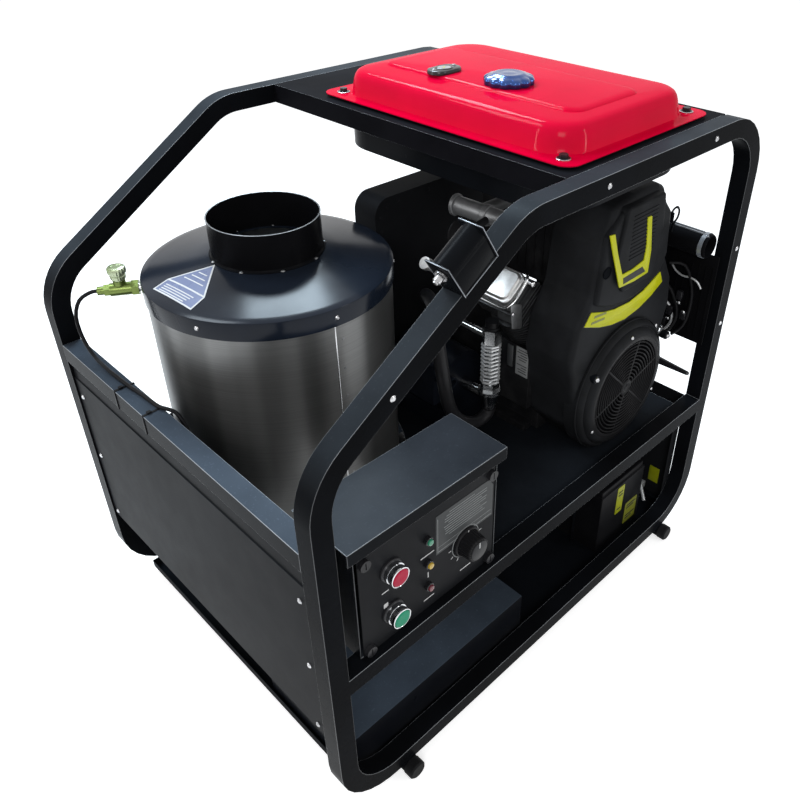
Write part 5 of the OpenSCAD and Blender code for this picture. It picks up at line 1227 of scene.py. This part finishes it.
HARNESS = (
    (2.2, spring_bright, [(503, -296, 676), (500, -308, 667), (499, -326, 661), (499, -345, 663),
                          (500, -362, 658), (501, -372, 645)]),
    (4.0, cable_sheath, [(480, -280, 640), (494, -300, 628), (499, -318, 600), (497, -330, 565),
                         (488, -322, 530), (470, -300, 505)]),
    (3.0, spring_bright, [(478, -270, 600), (494, -296, 592), (499, -312, 574), (499, -318, 546),
                          (492, -308, 520), (478, -290, 500)]),
    (3.6, cable_sheath, [(480, -300, 690), (496, -330, 688), (500, -352, 640), (499, -356, 590),
                         (497, -348, 545), (486, -330, 520)]),
    (2.4, steel_dull, [(476, -262, 560), (494, -286, 556), (498, -300, 530), (490, -296, 500),
                       (476, -280, 486)]))
for number, (radius, paint, line) in enumerate(HARNESS):
    add_tube("harness_%d" % number, line, radius, paint)
PLUGS = ((-336, 604), (-318, 560), (-352, 560), (-306, 528))
plugs = gather(*[brick((492, along, up), (503, along + 14, up + 22), 2.0) for along, up in PLUGS])
add_piece("harness_plugs", plugs, gauge_plastic)
harness_screws = screw_heads([(491, -332, 600), (491, -312, 552), (491, -347, 582), (491, -300, 524)],
                             "-X", 4.0, 2.6)
add_piece("harness_screws", harness_screws, fastener_zinc)

handle = gather(rod((481.5, -300, 441), (492.5, -300, 441), 13, 40),
                rod((487, -304, 441), (487, -386, 439.4), 9.0, 24, end_radius=5.0),
                rod((487, -386, 439.4), (487, -390, 439.4), 5.0, 24, end_radius=3.0))
add_piece("throttle_lever_grip", handle, gauge_plastic, body="throttle_lever",
          stands_for=("throttle_lever",), ease=0.8)
loop = turned([(13.2, 0), (15.0, 1.9), (17.0, 1.9), (18.8, 0), (17.0, -1.9), (15.0, -1.9)],
              (451, -309, 811), "-Y", closed=True, steps=48)
hook = gather(rod((437, -309, 811), (432.4, -309, 811), 7, 24),
              brick((432.2, -316, 800), (437.4, -300, 822), 1.2),
              rod((452, -309, 795), (456, -305, 772), 3, 16))
add_piece("lifting_eye_loop", gather(loop, hook), tank_black, stands_for=("lifting_eye",),
          soft=50)

# ---- Small fittings on the frame ----
washers = turned_each([(5, 0), (12.5, 0), (12.5, 1.3), (11.5, 1.8), (5, 1.8)],
                      [(across, along, FLANGE_TOP) for across in (27, 388) for along in (-330, 210)],
                      steps=40, closed=True)
add_piece("tank_bolt_washers", washers, fastener_zinc)


def cable_tie(along):
    """A flat band round the rail and the cable, with its square lock."""
    band = bricks([((-561.3, along, 602.6), (-560.1, along + 4.5, 641.2)),
                   ((-561.3, along, 640.1), (-523, along + 4.5, 641.4)),
                   ((-524, along, 602.6), (-522.8, along + 4.5, 641.2)),
                   ((-561.3, along, 602.6), (-523, along + 4.5, 603.8))], 0.3)
    return gather(band, brick((-552, along - 1, 641), (-544, along + 5.5, 645), 0.8))


add_piece("cable_ties", gather(*[cable_tie(along) for along in (58, 160)]), cable_sheath)

BATTERY_FACE = -350
BATTERY_MARKS = ((326, 84, 28, 84, battery_yellow), (372, 22, 50, 68, trim_bar))
for number, (across, up, wide, high, paint) in enumerate(BATTERY_MARKS):
    mark = upright(oblong(across, up, wide, high, 3), BATTERY_FACE, 0.8, 0.2, 1)
    add_piece("battery_mark_%d" % number, mark, paint)
MARK_ROWS = ((378, 78, 38), (378, 70, 30), (378, 44, 38), (378, 36, 26), (332, 150, 16), (332, 140, 16),
             (332, 96, 14))
mark_rows = gather(*[upright(oblong(across, up, wide, 3), BATTERY_FACE - 1, 0.5)
                     for across, up, wide in MARK_ROWS])
add_piece("battery_mark_rows", mark_rows, label_dark)
add_piece("panel_foot", brick((507, -370, 20.2), (523.6, 370, 23.4), 0.8), pan_paint)
add_piece("bay_tag", brick((519.4, -350, 62), (521.7, -322, 108), 0.6), battery_yellow)
toggle = gather(rod((478, -344, 26), (498, -318, 50), 4.2, 20),
                rod((498, -318, 50), (512, -306, 44), 3.2, 16),
                brick((508, -318, 32), (521.5, -296, 50), 1.5))
add_piece("bay_toggle", toggle, spring_bright, ease=0.6)
posts = turned_each([(9, 0), (9, 10), (7, 14), (0, 14)], [(across, -285, 190) for across in (290, 410)],
                    steps=32)
add_piece("battery_posts", posts, steel_dull)

RELIEF_AT = (-465.9, 266.8)
relief = lobed([(9.2, 786.1), (9.2, 789), (13.6, 790.4), (14.2, 796), (12.4, 797.6), (12.4, 799.6),
                (15.8, 801), (16.4, 803), (16.4, 810), (14.8, 812.4), (11, 813.4), (9.8, 812), (0, 812)],
               18, 0.9, steps=128)
relief = gather(relief, turned([(9.2, 786.1), (0, 786.1)], steps=64))
add_piece("relief_cap_knurled", moved(relief, *RELIEF_AT), relief_green, body="relief_cap",
          stands_for=("relief_cap",), soft=40)

BARREL_R = 225.9
SEAM = 263.0
seam_place = Matrix.Translation((*BOILER, 0)) @ Matrix.Rotation(math.radians(SEAM), 4, "Z")
lap = brick((BARREL_R, -1.1, 156), (BARREL_R + 0.7, 1.1, 760), 0.25)
lap.transform(seam_place)
add_piece("barrel_seam", lap, steel_bright)
spots = turned_each([(2.6, 0), (2.2, 0.5), (0, 0.7)], [(BARREL_R, 14, up) for up in range(190, 760, 60)],
                    "X", steps=16)
spots.transform(seam_place)
add_piece("barrel_spot_welds", spots, steel_dull)

# ---- Studio ----


def seen_rays(tree):
    """1 on rays from the camera, mirrors and glass, and 0 on light that falls on the object."""
    ray = tree.nodes.new("ShaderNodeLightPath")
    seen = plus(tree, ray.outputs["Is Camera Ray"], ray.outputs["Is Glossy Ray"], True)
    return plus(tree, seen, ray.outputs["Is Transmission Ray"], True)


SKY = 0.44  # strength of the light from all round
FLOOR_GLOW = 0.62  # lifts the floor to white where it is seen


def studio_floor():
    """Wide white floor that keeps a soft shadow."""
    bpy.ops.mesh.primitive_plane_add(size=60, location=(0, 0, -0.0005))
    floor = bpy.context.object
    floor.name = "studio_floor"
    material = bpy.data.materials.new("studio_white")
    material.use_nodes = True
    tree = material.node_tree
    tree.nodes.clear()
    out = tree.nodes.new("ShaderNodeOutputMaterial")
    matte = tree.nodes.new("ShaderNodeBsdfDiffuse")
    matte.inputs["Color"].default_value = (0.9, 0.9, 0.9, 1)
    glow = tree.nodes.new("ShaderNodeEmission")
    both = tree.nodes.new("ShaderNodeAddShader")
    tree.links.new(times(tree, seen_rays(tree), FLOOR_GLOW), glow.inputs["Strength"])
    tree.links.new(matte.outputs[0], both.inputs[0])
    tree.links.new(glow.outputs[0], both.inputs[1])
    tree.links.new(both.outputs[0], out.inputs["Surface"])
    floor.data.materials.append(material)


def studio_world():
    """Soft even sky; plain white where it is seen or mirrored."""
    world = bpy.data.worlds.new("studio_sky")
    bpy.context.scene.world = world
    world.use_nodes = True
    tree = world.node_tree
    ground = tree.nodes["Background"]
    strength = plus(tree, times(tree, seen_rays(tree), 1.0 - SKY), SKY)
    tree.links.new(strength, ground.inputs["Strength"])
    ground.inputs["Color"].default_value = (1, 1, 1, 1)


def softbox(name, place, aim, wide, high, power, tint=(1.0, 1.0, 1.0)):
    """Rectangular studio light."""
    data = bpy.data.lights.new(name, "AREA")
    data.shape = "RECTANGLE"
    data.size = wide
    data.size_y = high
    data.energy = power
    data.color = tint
    lamp = bpy.data.objects.new(name, data)
    lamp.location = place
    lamp.rotation_euler = (Vector(aim) - Vector(place)).to_track_quat("-Z", "Y").to_euler()
    lamp.visible_camera = False
    bpy.context.scene.collection.objects.link(lamp)


BOILER_LIT = (BOILER[0] * MM, BOILER[1] * MM, 0.83)
studio_floor()
studio_world()
softbox("front_softbox", (-2.6, -2.8, 2.9), (0, 0, 0.6), 1.4, 1.4, 46)
softbox("window_softbox", (0.87, 1.68, 3.01), BOILER_LIT, 0.95, 0.95, 72, (0.72, 0.88, 1.0))
softbox("rake_softbox", (-0.82, 1.17, 2.93), (-0.35, -0.39, 0.9), 0.9, 0.8, 30, (0.80, 0.91, 1.0))
softbox("left_strip", (-3.0, 1.4, 1.7), (0, 0, 0.7), 0.3, 2.4, 22)
softbox("right_strip", (1.4, -3.0, 1.7), (0.2, 0, 0.7), 0.3, 2.4, 22)

bpy.context.scene.view_settings.view_transform = "Standard"
bpy.context.view_layer.update()
